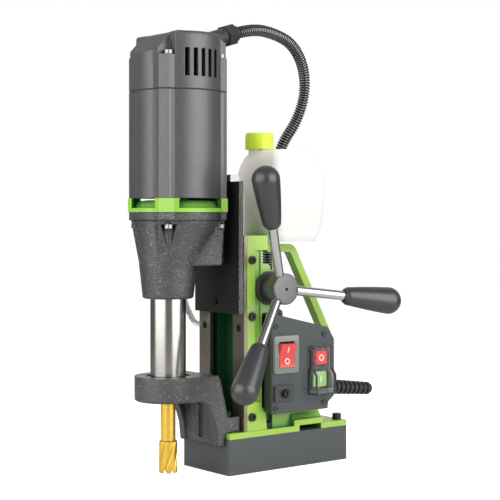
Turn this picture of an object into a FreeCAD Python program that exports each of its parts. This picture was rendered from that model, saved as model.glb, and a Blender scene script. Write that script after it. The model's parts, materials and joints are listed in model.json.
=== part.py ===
# Magnetic drill press: one STEP file per sub-part.
# Frame: origin at the centre of the magnet's underside, +Z up, -Y towards the
# drilling side, +X towards the feed capstan and the control panel. Millimetres.
import FreeCAD
import Part
import math
import os

V = FreeCAD.Vector

# ---------------------------------------------------------------- fits
RUNNING = 0.05           # radial clearance of a shaft in its bore
SLIDING = 0.3            # gap between faces that move past each other
SEAT = 0.2               # gap round a piece set in a pocket of its own body

# ---------------------------------------------------------------- magnet base
MAGNET_LENGTH = 160.0
MAGNET_WIDTH = 80.0
MAGNET_HEIGHT = 36.5
MAGNET_CHAMFER = 1.0
COIL_LENGTH = 136.0      # outside of the coil slot in the underside
COIL_SPAN = 60.0
COIL_SLOT = 17.0         # width of the slot
COIL_DEPTH = 28.0
RESIN_DEPTH = 7.0        # resin that closes the slot
RESIN_RECESS = 0.4

# ---------------------------------------------------------------- column casting
FLANGE_THICKNESS = 6.0
FLANGE_SETBACK = 1.0     # the flange ends this far inside the magnet's ends
CHANNEL_WIDTH = 40.0
CHEEK_THICKNESS = 19.0
COLUMN_FRONT = -60.0     # front face of the guide strips
STRIP_THICKNESS = 4.0
COLUMN_TOP = 243.0
WEB_THICKNESS = 6.0
HEAD_HEIGHT = 15.0
HEAD_DEPTH = 8.0
SHELF_WIDTH = 28.0
SHELF_REACH = 26.0
STRAP_SLOT = (13.0, 43.0)      # from and to along the magnet
STRAP_ROOF = 6.0
STRAP_BUMP_START = 6.0
PLINTH_TOP = 60.0
PLINTH_WIDTH = 66.0
PLINTH_END = 45.0
GIB_THICKNESS = 2.5
BOSS_RADIUS = 19.0
BOSS_BLOCK_RISE = 25.4
BOSS_BLOCK_DEPTH = 11.0
CHEEK_BAND = 9.6            # full-thickness band of the cheek round the gib screws
CHEEK_RELIEF = 1.5          # the rest of the cheek lies this much lower
CHEEK_BORDER = 1.6

# ---------------------------------------------------------------- slide
PLATE_THICKNESS = 6.0
PLATE_BOTTOM = 163.0
PLATE_TOP = 298.5
BAR_WIDTH = 32.0
BAR_TOP = 306.0
TEE_WIDTH = 46.4
TEE_DEPTH = 7.7
TEE_TOP = 285.0

# ---------------------------------------------------------------- rack and capstan
RACK_MODULE = 1.5
RACK_TEETH = 25
RACK_WIDTH = 16.0
RACK_HEIGHT = 10.0       # from the back of the slide bar to the tooth tips
RACK_CLEARANCE = 1.0     # tooth tips to the column's web
PINION_TEETH = 16
PINION_AXIS_Z = 188.6
SHAFT_RADIUS = 8.0
COLLAR_RADIUS = 17.5
COLLAR_THICKNESS = 4.0
HUB_RADIUS = 16.0
HUB_THICKNESS = 14.0
HUB_NECK_RADIUS = 12.5
HUB_NECK_LENGTH = 10.7
ARM_COUNT = 3
ARM_START_ANGLE = 112.8  # from +Y towards +Z
ARM_TILT = 15.7          # outwards from the hub's plane
ARM_LENGTH = 138.0
ARM_ROD_RADIUS = 5.0
KNOB_LENGTH = 66.0
KNOB_RADIUS = 14.2
KNOB_NECK_RADIUS = 9.3
KNOB_SOCKET = 38.0

# ---------------------------------------------------------------- spindle
SPINDLE_Y = -127.0
ARBOR_RADIUS = 18.0
ARBOR_BOTTOM = 79.0
JOURNAL_RADIUS = 12.5
SHANK_RADIUS = 9.525
SHANK_LENGTH = 38.0
CUTTER_NECK_RADIUS = 7.5
CUTTER_RADIUS = 9.25
CUTTER_BODY_TOP = 35.6
CUTTER_TIP = 4.2
CUTTER_WALL = 3.0
CUTTER_FLUTES = 6
GULLET_RADIUS = 2.4         # round notch between two teeth at the rim
FLUTE_TWIST = 75.0
PILOT_RADIUS = 3.15
PILOT_TIP = 2.6
PILOT_TRAVEL = 25.0

# ---------------------------------------------------------------- arbor support
RING_RADIUS = 34.0
RING_BOTTOM = 77.0
RING_TOP = 102.0
BUSH_WALL = 4.0
SUPPORT_WIDTH = 68.0
SUPPORT_WALL = 6.5
SUPPORT_FOOT = 30.0
HEEL_TOP = 58.0
HEEL_END = -61.5
LEG_WIDTH = 9.0
SUPPORT_SLOT_WIDTH = 7.0

# ---------------------------------------------------------------- gearbox
GEARBOX_BOTTOM = 180.0
NOSE_RADIUS = 25.6
NOSE_SHOULDER_RADIUS = 29.2
SHOULDER_Z = 213.0
SCREW_FLANGE = 4.0          # thickness of the body's rim under the gear plate, above the screw heads
GEARBOX_TOP = 258.8
GEAR_PLATE_THICKNESS = 8.2
BODY_HALF_WIDTH = 29.5      # gearbox body at the shoulder, where it turns into the nose
BLOCK_WIDTH = 28.0
GROOVE_RADIUS = 7.6         # scoop under each screw head, at its top
GROOVE_LENGTH = 33.0
SPINDLE_GEAR_MODULE = 1.5
SPINDLE_GEAR_TEETH = 32
IDLER_PINION_TEETH = 12
SPINDLE_GEAR_Z = 223.0
SPINDLE_GEAR_FACE = 10.0
MOTOR_GEAR_MODULE = 1.0
IDLER_GEAR_TEETH = 35
MOTOR_PINION_TEETH = 7
IDLER_GEAR_Z = 240.0
IDLER_GEAR_FACE = 8.0
IDLER_SHAFT_RADIUS = 5.0

# ---------------------------------------------------------------- motor
MOTOR_Y = -115.0
MOTOR_ROUND_RADIUS = 44.7
MOTOR_FRONT = -156.5
MOTOR_REAR = -73.0
MOTOR_HALF_WIDTH = 34.7
CORNER_X = 7.7
CORNER_Y = 6.1
HOUSING_WALL = 3.0
RING_HEIGHT = 14.0
RING_RAIL = 4.2
RING_PROUD = 0.8
DEFLECTOR_LEAN = 6.0        # the wall behind the windows leans inwards by this
DEFLECTOR_WALL = 1.4
SEAM_GROOVE = 0.5           # half height and depth of the groove between housing and cap
MOTOR_SPLIT = 389.0
MOTOR_TOP = 447.0
CAP_CHAMFER_Y = 17.0
CAP_CHAMFER_Z = 18.0
VENT_COUNT = 5
VENT_PITCH = 8.6
VENT_WIDTH = 4.6
VENT_BOTTOM = 402.0
VENT_TOP = 429.6
SCREW_X = 30.0
SCREW_FRONT_Y = -147.0
SCREW_REAR_Y = -83.0
SCREW_HEAD_RADIUS = 4.2
SCREW_LEDGE = 423.0
ARMATURE_SHAFT_RADIUS = 4.0
CORE_RADIUS = 21.0
CORE_BOTTOM = 302.0
CORE_TOP = 348.0
AIR_GAP = 0.8
COMMUTATOR_RADIUS = 13.0
FAN_RADIUS = 33.0
FAN_BLADES = 12

# ---------------------------------------------------------------- control box
PANEL_X = 55.0           # outer face of the panel
PANEL_THICKNESS = 3.0
PANEL_FRONT = -36.0
PANEL_REAR = 48.0
PANEL_BOTTOM = 60.0
PANEL_TOP_FRONT = 162.0
PANEL_TOP_REAR = 146.0
HOUSING_LEFT = -34.0
HOUSING_SHELL = 2.5
PANEL_MARGIN = 1.5       # the panel overlaps the box's edge by this
MAGNET_SWITCH_Y = -19.0
MAGNET_SWITCH_Z = 120.7
MAGNET_SWITCH_SIZE = (32.0, 38.6)
MOTOR_SWITCH_Y = 26.0
MOTOR_SWITCH_Z = (77.0, 128.5)
FUSE_SIZE = (25.0, 16.5, 3.0)
FUSE_CAP_RADIUS = 4.4
FUSE_CAP_PROUD = 4.0
FUSE_Y = -21.8
FUSE_Z = 81.0

# ---------------------------------------------------------------- handle
HANDLE_WIDTH = 11.0
HANDLE_DEPTH = 8.5
HANDLE_TOP = 233.0
HANDLE_KNEE = (31.5, 228.75)
HANDLE_BEND = 9.0           # largest radius of the bar's bends
HANDLE_ELBOW = (83.5, 132.0)
HANDLE_HEEL = (80.0, 112.0)
HANDLE_FOOT_Z = 104.0

# ---------------------------------------------------------------- coolant
TANK_WIDTH = 73.0
TANK_FRONT = -13.5
TANK_REAR = 51.5
TANK_BOTTOM = 236.0
TANK_TOP = 334.0
TANK_WALL = 2.0
TANK_STEP = 6.6
TANK_CORNER = 11.0
TANK_PROFILE = [(0.0, 5.0), (0.05, 2.6), (0.25, -1.0), (0.5, -2.6), (0.75, -1.2), (0.92, 4.0), (1.0, 11.0)]
NECK_X = -17.0
NECK_Y = 4.0
NECK_RADIUS = 12.0
NECK_HEIGHT = 14.3
CAP_RADIUS = 15.5
CAP_LID = 4.0
TAP_X = -26.0
TAP_Y = 2.0
TUBE_DIAMETER = 6.0
TUBE_WALL = 1.0
TUBE_ROUTE = [
    (-26, 2, 214), (-26, 2, 199), (-33, -1, 184), (-43, -6, 170), (-49, -17, 157), (-50, -32, 149),
    (-48.5, -48, 146), (-43.5, -63.5, 149.5), (-30, -78, 158), (-21, -90, 170), (-16, -98, 185),
    (-16, -98, 202),
]

# ---------------------------------------------------------------- conduit
HOSE_DIAMETER = 12.6
HOSE_BORE = 9.0
HOSE_ROUTE = [
    (0, -42, 455), (-1.5, -17.5, 462.5), (-12, 21, 461.5), (-19.5, 52.5, 453.5), (-26.5, 74.5, 431.5),
    (-33.5, 83, 401.5), (-39, 75.5, 370.5), (-44, 57.5, 344.5), (-47.5, 48.5, 313.5), (-48, 42.5, 282),
    (-48, 39.5, 250), (-46.5, 38.5, 217.5), (-39, 33.5, 187), (-26, 28, 158),
]
FITTING_RADIUS = 9.0
NUT_ACROSS = 21.0
SLEEVE_LENGTH = 68.0
SLEEVE_RIBS = 9
SLEEVE_RIB_PITCH = 6.6
SLEEVE_RADIUS = 8.0
SLEEVE_BORE = 4.0

# ================================================================ derived places
FLANGE_TOP = MAGNET_HEIGHT + FLANGE_THICKNESS
CHEEK_IN = CHANNEL_WIDTH / 2
CHEEK_OUT = CHEEK_IN + CHEEK_THICKNESS
CHEEK_FRONT = COLUMN_FRONT + STRIP_THICKNESS
TEE_FRONT = CHEEK_FRONT + SLIDING
TEE_BACK = TEE_FRONT + TEE_DEPTH
RACK_TIPS = TEE_BACK + RACK_HEIGHT
RACK_PITCH_Y = RACK_TIPS - RACK_MODULE
PINION_PITCH = PINION_TEETH * RACK_MODULE / 2
PINION_Y = RACK_PITCH_Y + PINION_PITCH
WEB_FRONT = RACK_TIPS + RACK_CLEARANCE
WEB_BACK = WEB_FRONT + WEB_THICKNESS
PLATE_BACK = COLUMN_FRONT - SLIDING
PLATE_FRONT = PLATE_BACK - PLATE_THICKNESS
SUPPORT_BACK = -MAGNET_LENGTH / 2 - SEAT
GEAR_PLATE_TOP = GEARBOX_TOP + GEAR_PLATE_THICKNESS
MOTOR_BOTTOM = GEAR_PLATE_TOP + RING_HEIGHT
SPINDLE_DISTANCE = (SPINDLE_GEAR_TEETH + IDLER_PINION_TEETH) * SPINDLE_GEAR_MODULE / 2
IDLER_Y = SPINDLE_Y + SPINDLE_DISTANCE
COLLAR_FACE = CHEEK_OUT + COLLAR_THICKNESS
HUB_BACK = COLLAR_FACE + SLIDING + HUB_NECK_LENGTH
HUB_FACE = HUB_BACK + HUB_THICKNESS
PANEL_BACK = PANEL_X - PANEL_THICKNESS
SCREW_PLACES = [(sx * SCREW_X, y) for sx in (-1, 1) for y in (SCREW_FRONT_Y, SCREW_REAR_Y)]
BASE_BOLT_PLACES = [(-31.0, 73.0), (31.0, 73.0), (-32.0, -24.0), (32.0, -24.0)]
HEEL_BOLT_PLACES = [(-25.0, -70.0), (25.0, -70.0)]
STRIP_SCREW_HEIGHTS = [76.0, 148.0, 220.0]
STRIP_SCREW_LENGTH = 4.6
GIB_SCREW_HEIGHTS = [57.0, 112.0, 160.0, 218.0]
GIB_SCREW_Y = CHEEK_FRONT + 5.8
BEARING_RADIUS = 21.0
SPINDLE_BEARINGS = (GEARBOX_BOTTOM + 4.5, GEARBOX_BOTTOM + 27.0)
ARMATURE_BEARING_RADIUS = 11.0
NOZZLE_X, NOZZLE_Y, TUBE_END_Z = TUBE_ROUTE[-1]
GLAND_LENGTH = 40.0
SET_SCREW_Z = ARBOR_BOTTOM + 17.0
PANEL_SCREW_PLACES = [(-31.0, 150.0), (34.0, 139.0), (-31.0, 66.0), (34.0, 67.5)]
ROCKER_X = PANEL_X - 1.5
ROCKER_TILT = 9.0
LOWER_FITTING_LENGTH = 5.0
SLIDE_SCREW_PLACES = [(0.0, PLATE_BOTTOM + 11), (-11.0, PLATE_TOP - 10), (11.0, PLATE_TOP - 10)]

NODES = {}


# ================================================================ shape helpers
def box(xs, ys, zs):
    return Part.makeBox(xs[1] - xs[0], ys[1] - ys[0], zs[1] - zs[0], V(xs[0], ys[0], zs[0]))


def rod(radius, start, end):
    a, b = V(*start), V(*end)
    return Part.makeCylinder(radius, (b - a).Length, a, b - a)


def tube(outer, inner, start, end):
    return rod(outer, start, end).cut(rod(inner, start, end))


def cone(radius_start, radius_end, start, end):
    a, b = V(*start), V(*end)
    return Part.makeCone(radius_start, radius_end, (b - a).Length, a, b - a)


def face(points):
    corners = [V(*p) for p in points]
    return Part.Face(Part.makePolygon(corners + corners[:1]))


def along_x(points, xs):
    """Extrude an outline of (y, z) points from xs[0] to xs[1]."""
    return face([(xs[0], y, z) for y, z in points]).extrude(V(xs[1] - xs[0], 0, 0))


def along_z(points, zs):
    """Extrude an outline of (x, y) points from zs[0] to zs[1]."""
    return face([(x, y, zs[0]) for x, y in points]).extrude(V(0, 0, zs[1] - zs[0]))


def along_y(points, ys):
    """Extrude an outline of (x, z) points from ys[0] to ys[1]."""
    return face([(x, ys[0], z) for x, z in points]).extrude(V(0, ys[1] - ys[0], 0))


def fuse(*shapes):
    return shapes[0].multiFuse(list(shapes[1:])).removeSplitter()


def cut(shape, *tools):
    for tool in tools:
        shape = shape.cut(tool)
    return shape


def group(shapes):
    return Part.makeCompound(list(shapes))


def mirrored(shape):
    return shape.mirror(V(0, 0, 0), V(1, 0, 0))


def turned(profile, centre, axis):
    """Revolve an outline of (radius, height) points about axis through centre."""
    outline = Part.Face(Part.makePolygon([V(r, 0, h) for r, h in profile + profile[:1]]))
    solid = outline.revolve(V(0, 0, 0), V(0, 0, 1), 360)
    solid.Placement = FreeCAD.Placement(V(*centre), FreeCAD.Rotation(V(0, 0, 1), V(*axis)))
    return solid


def edges_along(shape, direction, keep=lambda middle: True):
    """Straight edges parallel to direction whose middle passes keep."""
    chosen = []
    for edge in shape.Edges:
        if len(edge.Vertexes) != 2 or edge.Curve.TypeId != "Part::GeomLine":
            continue
        run = edge.Vertexes[1].Point - edge.Vertexes[0].Point
        middle = (edge.Vertexes[0].Point + edge.Vertexes[1].Point) * 0.5
        if run.cross(direction).Length < 1e-6 * run.Length and keep(middle):
            chosen.append(edge)
    return chosen


def rounded(shape, radius, direction, keep=lambda middle: True):
    return shape.makeFillet(radius, edges_along(shape, direction, keep))


def stadium(width, length, zs):
    reach = (length - width) / 2
    return fuse(box((-width / 2, width / 2), (-reach, reach), zs),
                rod(width / 2, (0, -reach, zs[0]), (0, -reach, zs[1])),
                rod(width / 2, (0, reach, zs[0]), (0, reach, zs[1])))


def hexagon(across, start, end):
    """Hexagonal bar between two points, given its width across flats."""
    a, b = V(*start), V(*end)
    radius = across / math.sqrt(3)
    corners = [V(radius * math.cos(math.radians(60 * i)), radius * math.sin(math.radians(60 * i)), 0)
               for i in range(6)]
    bar = Part.Face(Part.makePolygon(corners + corners[:1])).extrude(V(0, 0, (b - a).Length))
    bar.Placement = FreeCAD.Placement(a, FreeCAD.Rotation(V(0, 0, 1), b - a))
    return bar


def cap_screw(seat, direction, head_radius, head_height, shank_radius, shank_length):
    """Socket-head screw; seat is the point under its head, direction points out of the head."""
    out = V(*direction)
    out.normalize()
    foot = V(*seat)
    top = foot + out * head_height
    screw = fuse(rod(head_radius, foot, top), rod(shank_radius, foot - out * shank_length, foot))
    return screw.cut(hexagon(head_radius * 0.95, foot + out * head_height * 0.45, top + out))


def gear(teeth, module, width, bottom, centre, phase, bore=0.0, addendum=1.0, backlash=0.28):
    """Involute spur gear about Z with one tooth centred on the angle phase, in degrees."""
    pressure = math.radians(20)
    pitch = teeth * module / 2
    base = pitch * math.cos(pressure)
    tip = pitch + addendum * module
    root = pitch - 1.3 * module
    half_pitch = math.pi / (2 * teeth) - backlash * module / (2 * pitch)
    rolled = math.tan(pressure) - pressure

    def half_angle(radius):
        if radius <= base:
            return half_pitch + rolled
        angle = math.acos(base / radius)
        return half_pitch + rolled - (math.tan(angle) - angle)

    flank = [max(root, 0.1)] + [base + (tip - base) * i / 3 for i in range(4) if base > root or i]
    points = []
    for tooth in range(teeth):
        middle = math.radians(phase) + 2 * math.pi * tooth / teeth
        for radius in flank:
            points.append((radius, middle - half_angle(radius)))
        for radius in reversed(flank):
            points.append((radius, middle + half_angle(radius)))
    outline = [(centre[0] + r * math.cos(a), centre[1] + r * math.sin(a)) for r, a in points]
    blank = along_z(outline, (bottom, bottom + width))
    if bore:
        blank = blank.cut(rod(bore, (*centre, bottom - 1), (*centre, bottom + width + 1)))
    return blank


def tangent_path(route, largest=math.inf):
    """Straight runs joined by tangent arcs, each as large as its two runs and largest allow."""
    points = [V(*p) for p in route]
    edges = []
    last = points[0]
    radii = []
    for before, corner, after in zip(points, points[1:], points[2:]):
        back = before - corner
        ahead = after - corner
        shorter = min(back.Length, ahead.Length)
        turn = math.pi - back.getAngle(ahead)
        radius = min(0.45 * shorter / math.tan(turn / 2), largest)
        reach = radius * math.tan(turn / 2)
        radii.append(round(radius))
        back.normalize()
        ahead.normalize()
        start = corner + back * reach
        end = corner + ahead * reach
        bisector = back + ahead
        bisector.normalize()
        distance = radius / math.cos(turn / 2)
        middle = corner + bisector * (distance - radius)
        edges.append(Part.LineSegment(last, start).toShape())
        edges.append(Part.Arc(start, middle, end).toShape())
        last = end
    edges.append(Part.LineSegment(last, points[-1]).toShape())
    return Part.Wire(edges), radii


def hose(route, diameter, bore, name):
    """Hollow tube along a route, with its radii and volume printed."""
    path, radii = tangent_path(route)
    start = path.Edges[0].Vertexes[0].Point
    heading = V(*route[1]) - V(*route[0])

    def ring(radius):
        return Part.Wire(Part.Circle(start, heading, radius).toShape())

    outer = path.makePipeShell([ring(diameter / 2)], True, False, 1)
    inner = path.makePipeShell([ring(bore / 2)], True, False, 1)
    body = outer.cut(inner)
    expected = math.pi / 4 * (diameter ** 2 - bore ** 2) * path.Length
    ratio = round(body.Volume / expected, 4)
    print(name, "length", round(path.Length), "radii", radii, "volume ratio", ratio)
    return body


def node(name, shape):
    NODES[name] = shape


# ================================================================ magnet and column
def make_magnet():
    half_x = MAGNET_WIDTH / 2
    half_y = MAGNET_LENGTH / 2
    block = box((-half_x, half_x), (-half_y, half_y), (0, MAGNET_HEIGHT))
    block = block.makeChamfer(MAGNET_CHAMFER, edges_along(block, V(0, 0, 1)))
    core_span = COIL_SPAN - 2 * COIL_SLOT
    core_length = COIL_LENGTH - 2 * COIL_SLOT

    def slot_ring(gap, zs):
        return stadium(COIL_SPAN - 2 * gap, COIL_LENGTH - 2 * gap, zs).cut(
            stadium(core_span + 2 * gap, core_length + 2 * gap, zs))

    block = block.cut(slot_ring(0, (-1, COIL_DEPTH)))
    for x, y in BASE_BOLT_PLACES:
        block = block.cut(rod(3 + RUNNING, (x, y, COIL_DEPTH), (x, y, MAGNET_HEIGHT + 1)))
    for x, y in HEEL_BOLT_PLACES:
        block = block.cut(rod(2.5 + RUNNING, (x, y, MAGNET_HEIGHT - 5), (x, y, MAGNET_HEIGHT + 1)))
    node("magnet_body", block)
    resin = slot_ring(0, (RESIN_RECESS, RESIN_RECESS + RESIN_DEPTH))
    node("magnet_potting", resin)
    node("magnet_coil", slot_ring(SEAT, (RESIN_RECESS + RESIN_DEPTH, COIL_DEPTH - SEAT)))


def make_column():
    out = CHEEK_OUT
    half_length = MAGNET_LENGTH / 2 - FLANGE_SETBACK
    half_width = MAGNET_WIDTH / 2
    flange = box((-half_width, half_width), (-half_length, half_length), (MAGNET_HEIGHT, FLANGE_TOP))
    cheek = box((CHEEK_IN, out), (CHEEK_FRONT, WEB_FRONT), (FLANGE_TOP, COLUMN_TOP))
    foot = along_x([(WEB_FRONT, FLANGE_TOP), (WEB_FRONT + 7, FLANGE_TOP),
                    (WEB_FRONT + 5, FLANGE_TOP + 18), (WEB_FRONT, FLANGE_TOP + 24)], (CHEEK_IN, out))
    web = box((-CHEEK_IN - 6, CHEEK_IN + 6), (WEB_FRONT, WEB_BACK), (FLANGE_TOP, COLUMN_TOP))
    head = box((-out, out), (WEB_FRONT, WEB_FRONT + HEAD_DEPTH), (COLUMN_TOP - HEAD_HEIGHT, COLUMN_TOP))
    shelf_z = (COLUMN_TOP - HEAD_HEIGHT, TANK_BOTTOM + TANK_STEP)
    shelf = box((-SHELF_WIDTH / 2, SHELF_WIDTH / 2),
                (WEB_FRONT + HEAD_DEPTH, WEB_FRONT + HEAD_DEPTH + SHELF_REACH), shelf_z)
    axis = (PINION_Y, PINION_AXIS_Z)
    block = box((-out, out), (WEB_FRONT, WEB_FRONT + BOSS_BLOCK_DEPTH),
                (axis[1] - BOSS_BLOCK_RISE, axis[1] + BOSS_BLOCK_RISE))
    block = rounded(block, 5.0, V(1, 0, 0), lambda m: m.y > WEB_FRONT + 1)
    boss = rod(BOSS_RADIUS, (-out, *axis), (out, *axis))
    boss = boss.common(box((-out, out), (WEB_FRONT - 0.5, 0), (0, 400)))
    plinth = box((-PLINTH_WIDTH / 2, PLINTH_WIDTH / 2), (WEB_BACK + 8, PLINTH_END), (FLANGE_TOP, PLINTH_TOP))
    bump_top = FLANGE_TOP + STRAP_ROOF
    bump = along_y([(half_width, FLANGE_TOP), (half_width, bump_top), (half_width - 3, bump_top + 1),
                    (PLINTH_WIDTH / 2 - 1, bump_top + 8), (PLINTH_WIDTH / 2 - 1, FLANGE_TOP)],
                   (STRAP_BUMP_START, PLINTH_END))
    body = fuse(flange, cheek, mirrored(cheek), foot, mirrored(foot), web, head, shelf, block, boss, plinth,
                bump, mirrored(bump))
    groove_y = (CHEEK_FRONT - 1, TEE_BACK + SLIDING)
    groove_left = -TEE_WIDTH / 2 - SLIDING
    groove_right = TEE_WIDTH / 2 + SLIDING + GIB_THICKNESS
    body = body.cut(box((groove_left, groove_right), groove_y, (FLANGE_TOP + 12, COLUMN_TOP + 1)))
    band_front = GIB_SCREW_Y + CHEEK_BAND / 2
    for side in (-1, 1):
        xs = sorted((side * (out - CHEEK_RELIEF), side * (out + 1)))
        relief_zs = (PLINTH_TOP + 12, COLUMN_TOP - HEAD_HEIGHT)
        body = body.cut(box(xs, (band_front, WEB_FRONT - CHEEK_BORDER), relief_zs))
    cavity_radius = PINION_PITCH + RACK_MODULE + 1.0
    cavity_half = RACK_WIDTH / 2 + 3
    body = body.cut(rod(cavity_radius, (-cavity_half, *axis), (cavity_half, *axis)))
    body = body.cut(rod(SHAFT_RADIUS + RUNNING, (-out - 1, *axis), (out + 1, *axis)))
    body = body.cut(box((-half_width - 1, half_width + 1), STRAP_SLOT, (MAGNET_HEIGHT - 1, FLANGE_TOP)))
    for x, y in BASE_BOLT_PLACES:
        body = body.cut(rod(3 + RUNNING, (x, y, MAGNET_HEIGHT - 1), (x, y, FLANGE_TOP + 1)))
        body = body.cut(rod(5.5, (x, y, FLANGE_TOP), (x, y, FLANGE_TOP + 30)))
    for x, y in HEEL_BOLT_PLACES:
        body = body.cut(rod(2.5 + RUNNING, (x, y, MAGNET_HEIGHT - 1), (x, y, FLANGE_TOP + 1)))
    for z in GIB_SCREW_HEIGHTS:
        place = (GIB_SCREW_Y, z)
        body = body.cut(rod(2.5 + RUNNING, (groove_right - 1, *place), (out + 1, *place)))
    for side in (-1, 1):
        for z in STRIP_SCREW_HEIGHTS:
            place = (side * (CHEEK_IN + out) / 2, z)
            body = body.cut(rod(2 + RUNNING, (place[0], CHEEK_FRONT - 1, place[1]),
                                (place[0], COLUMN_FRONT + 2.6 + STRIP_SCREW_LENGTH, place[1])))
    node("column_frame", body)

    def strip(side):
        plate = box((CHEEK_IN, out), (COLUMN_FRONT, CHEEK_FRONT), (FLANGE_TOP, COLUMN_TOP))
        if side < 0:
            plate = mirrored(plate)
        for z in STRIP_SCREW_HEIGHTS:
            x = side * (CHEEK_IN + out) / 2
            plate = plate.cut(rod(2 + RUNNING, (x, COLUMN_FRONT - 1, z), (x, CHEEK_FRONT + 1, z)))
            plate = plate.cut(rod(4.1, (x, COLUMN_FRONT - 1, z), (x, COLUMN_FRONT + 2.4, z)))
        return plate

    node("guide_strips", group([strip(-1), strip(1)]))
    screws = []
    for side in (-1, 1):
        for z in STRIP_SCREW_HEIGHTS:
            x = side * (CHEEK_IN + out) / 2
            head = (x, COLUMN_FRONT + 2.4, z)
            screws.append(cap_screw(head, (0, -1, 0), 3.8, 2.1, 2.0, STRIP_SCREW_LENGTH))
    for z in GIB_SCREW_HEIGHTS:
        seat = (out, GIB_SCREW_Y, z)
        screws.append(cap_screw(seat, (1, 0, 0), 4.2, 2.6, 2.5, out - groove_right))
    node("guide_screws", group(screws))
    gib_x = (groove_right - GIB_THICKNESS + 0.1, groove_right)
    node("gib_strip", box(gib_x, (CHEEK_FRONT + 0.2, TEE_BACK), (FLANGE_TOP + 12, COLUMN_TOP - 2)))
    bolts = [cap_screw((x, y, FLANGE_TOP), (0, 0, 1), 4.8, 6.5, 3.0, FLANGE_TOP - COIL_DEPTH - 0.5)
             for x, y in BASE_BOLT_PLACES]
    bolts += [cap_screw((x, y, HEEL_TOP), (0, 0, 1), 3.0, 5.0, 2.5, HEEL_TOP - MAGNET_HEIGHT + 4.0)
              for x, y in HEEL_BOLT_PLACES]
    node("base_bolts", group(bolts))
    collar = tube(COLLAR_RADIUS, SHAFT_RADIUS + RUNNING, (out, *axis), (COLLAR_FACE, *axis))
    blank = rod(COLLAR_RADIUS, (-out - 3, *axis), (-out, *axis))
    node("shaft_collar", group([collar, blank]))


def make_support():
    """Casting that carries the arbor's lower bush, bolted to the magnet's front."""
    back = SUPPORT_BACK
    half = SUPPORT_WIDTH / 2
    wall_front = back - SUPPORT_WALL
    ring = rod(RING_RADIUS, (0, SPINDLE_Y, RING_BOTTOM), (0, SPINDLE_Y, RING_TOP))
    ring = ring.makeFillet(2.5, [e for e in ring.Edges if abs(e.BoundBox.ZMax - RING_BOTTOM) < 0.01])
    knee = back - 8.6
    side = [(SPINDLE_Y, RING_TOP), (knee, RING_TOP), (knee + 3, RING_TOP - 6), (back + 2.5, HEEL_TOP + 4),
            (back + 4, HEEL_TOP), (HEEL_END, HEEL_TOP), (HEEL_END, FLANGE_TOP),
            (-MAGNET_LENGTH / 2 + FLANGE_SETBACK - SEAT, FLANGE_TOP),
            (-MAGNET_LENGTH / 2 + FLANGE_SETBACK - SEAT, MAGNET_HEIGHT + SEAT),
            (back, MAGNET_HEIGHT + SEAT), (back, SUPPORT_FOOT)]
    wall = along_x(side + [(wall_front, SUPPORT_FOOT), (wall_front, RING_BOTTOM - 8),
                           (wall_front - 8, RING_BOTTOM), (SPINDLE_Y, RING_BOTTOM)], (-half, half))
    leg_front = [(wall_front - 1.5, SUPPORT_FOOT), (wall_front - 3.5, 48), (wall_front - 8, 62),
                 (wall_front - 15, RING_BOTTOM - 4), (wall_front - 22, RING_BOTTOM), (SPINDLE_Y, RING_BOTTOM)]
    leg = along_x(side + leg_front, (half - LEG_WIDTH, half))
    hollow_xs = (-half + LEG_WIDTH, half - LEG_WIDTH)
    hollow = box(hollow_xs, (back + 6, HEEL_END + 1), (HEEL_TOP - 6, HEEL_TOP + 1))
    body = fuse(wall, leg, mirrored(leg)).cut(hollow)
    body = fuse(body.common(box((-half, half), (SPINDLE_Y, 0), (0, 200))), ring)
    slot = SUPPORT_SLOT_WIDTH / 2
    slot_zs = (SUPPORT_FOOT + 6, RING_BOTTOM - 2)
    body = body.cut(box((-slot, slot), (wall_front - 30, wall_front + 2.5), slot_zs))
    seat = ARBOR_RADIUS + RUNNING + BUSH_WALL
    body = body.cut(rod(seat, (0, SPINDLE_Y, 0), (0, SPINDLE_Y, 200)))
    for x, y in HEEL_BOLT_PLACES:
        body = body.cut(rod(2.5 + RUNNING, (x, y, FLANGE_TOP - 1), (x, y, HEEL_TOP + 1)))
        body = body.cut(rod(3.6, (x, y, HEEL_TOP), (x, y, HEEL_TOP + 30)))
    node("arbor_support", body)
    bush = tube(seat, ARBOR_RADIUS + RUNNING, (0, SPINDLE_Y, RING_BOTTOM), (0, SPINDLE_Y, RING_TOP - 1.5))
    node("support_bush", bush)


# ================================================================ slide and rack
def make_slide():
    plate = box((-CHEEK_OUT, CHEEK_OUT), (PLATE_FRONT, PLATE_BACK), (PLATE_BOTTOM, PLATE_TOP))
    plate = plate.makeChamfer(0.8, edges_along(plate, V(0, 0, 1)))
    for x, z in SLIDE_SCREW_PLACES:
        plate = plate.cut(rod(3 + RUNNING, (x, PLATE_FRONT - 1, z), (x, PLATE_BACK + 1, z)))
        plate = plate.cut(rod(5.2, (x, PLATE_FRONT - 1, z), (x, PLATE_FRONT + 4.0, z)))
    node("slide_plate", plate)
    half = BAR_WIDTH / 2
    bar = box((-half, half), (PLATE_BACK, TEE_BACK), (PLATE_BOTTOM, BAR_TOP))
    tee = box((-TEE_WIDTH / 2, TEE_WIDTH / 2), (TEE_FRONT, TEE_BACK), (PLATE_BOTTOM, TEE_TOP))
    bar = fuse(bar, tee)
    for x, z in SLIDE_SCREW_PLACES:
        bar = bar.cut(rod(3 + RUNNING, (x, PLATE_BACK - 1, z), (x, PLATE_BACK + 9, z)))
    node("slide_bar", bar)
    screws = [cap_screw((x, PLATE_FRONT + 4.0, z), (0, -1, 0), 5.0, 3.6, 3.0, PLATE_THICKNESS - 4 + 8)
              for x, z in SLIDE_SCREW_PLACES]
    node("slide_screws", group(screws))
    make_rack()


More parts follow.
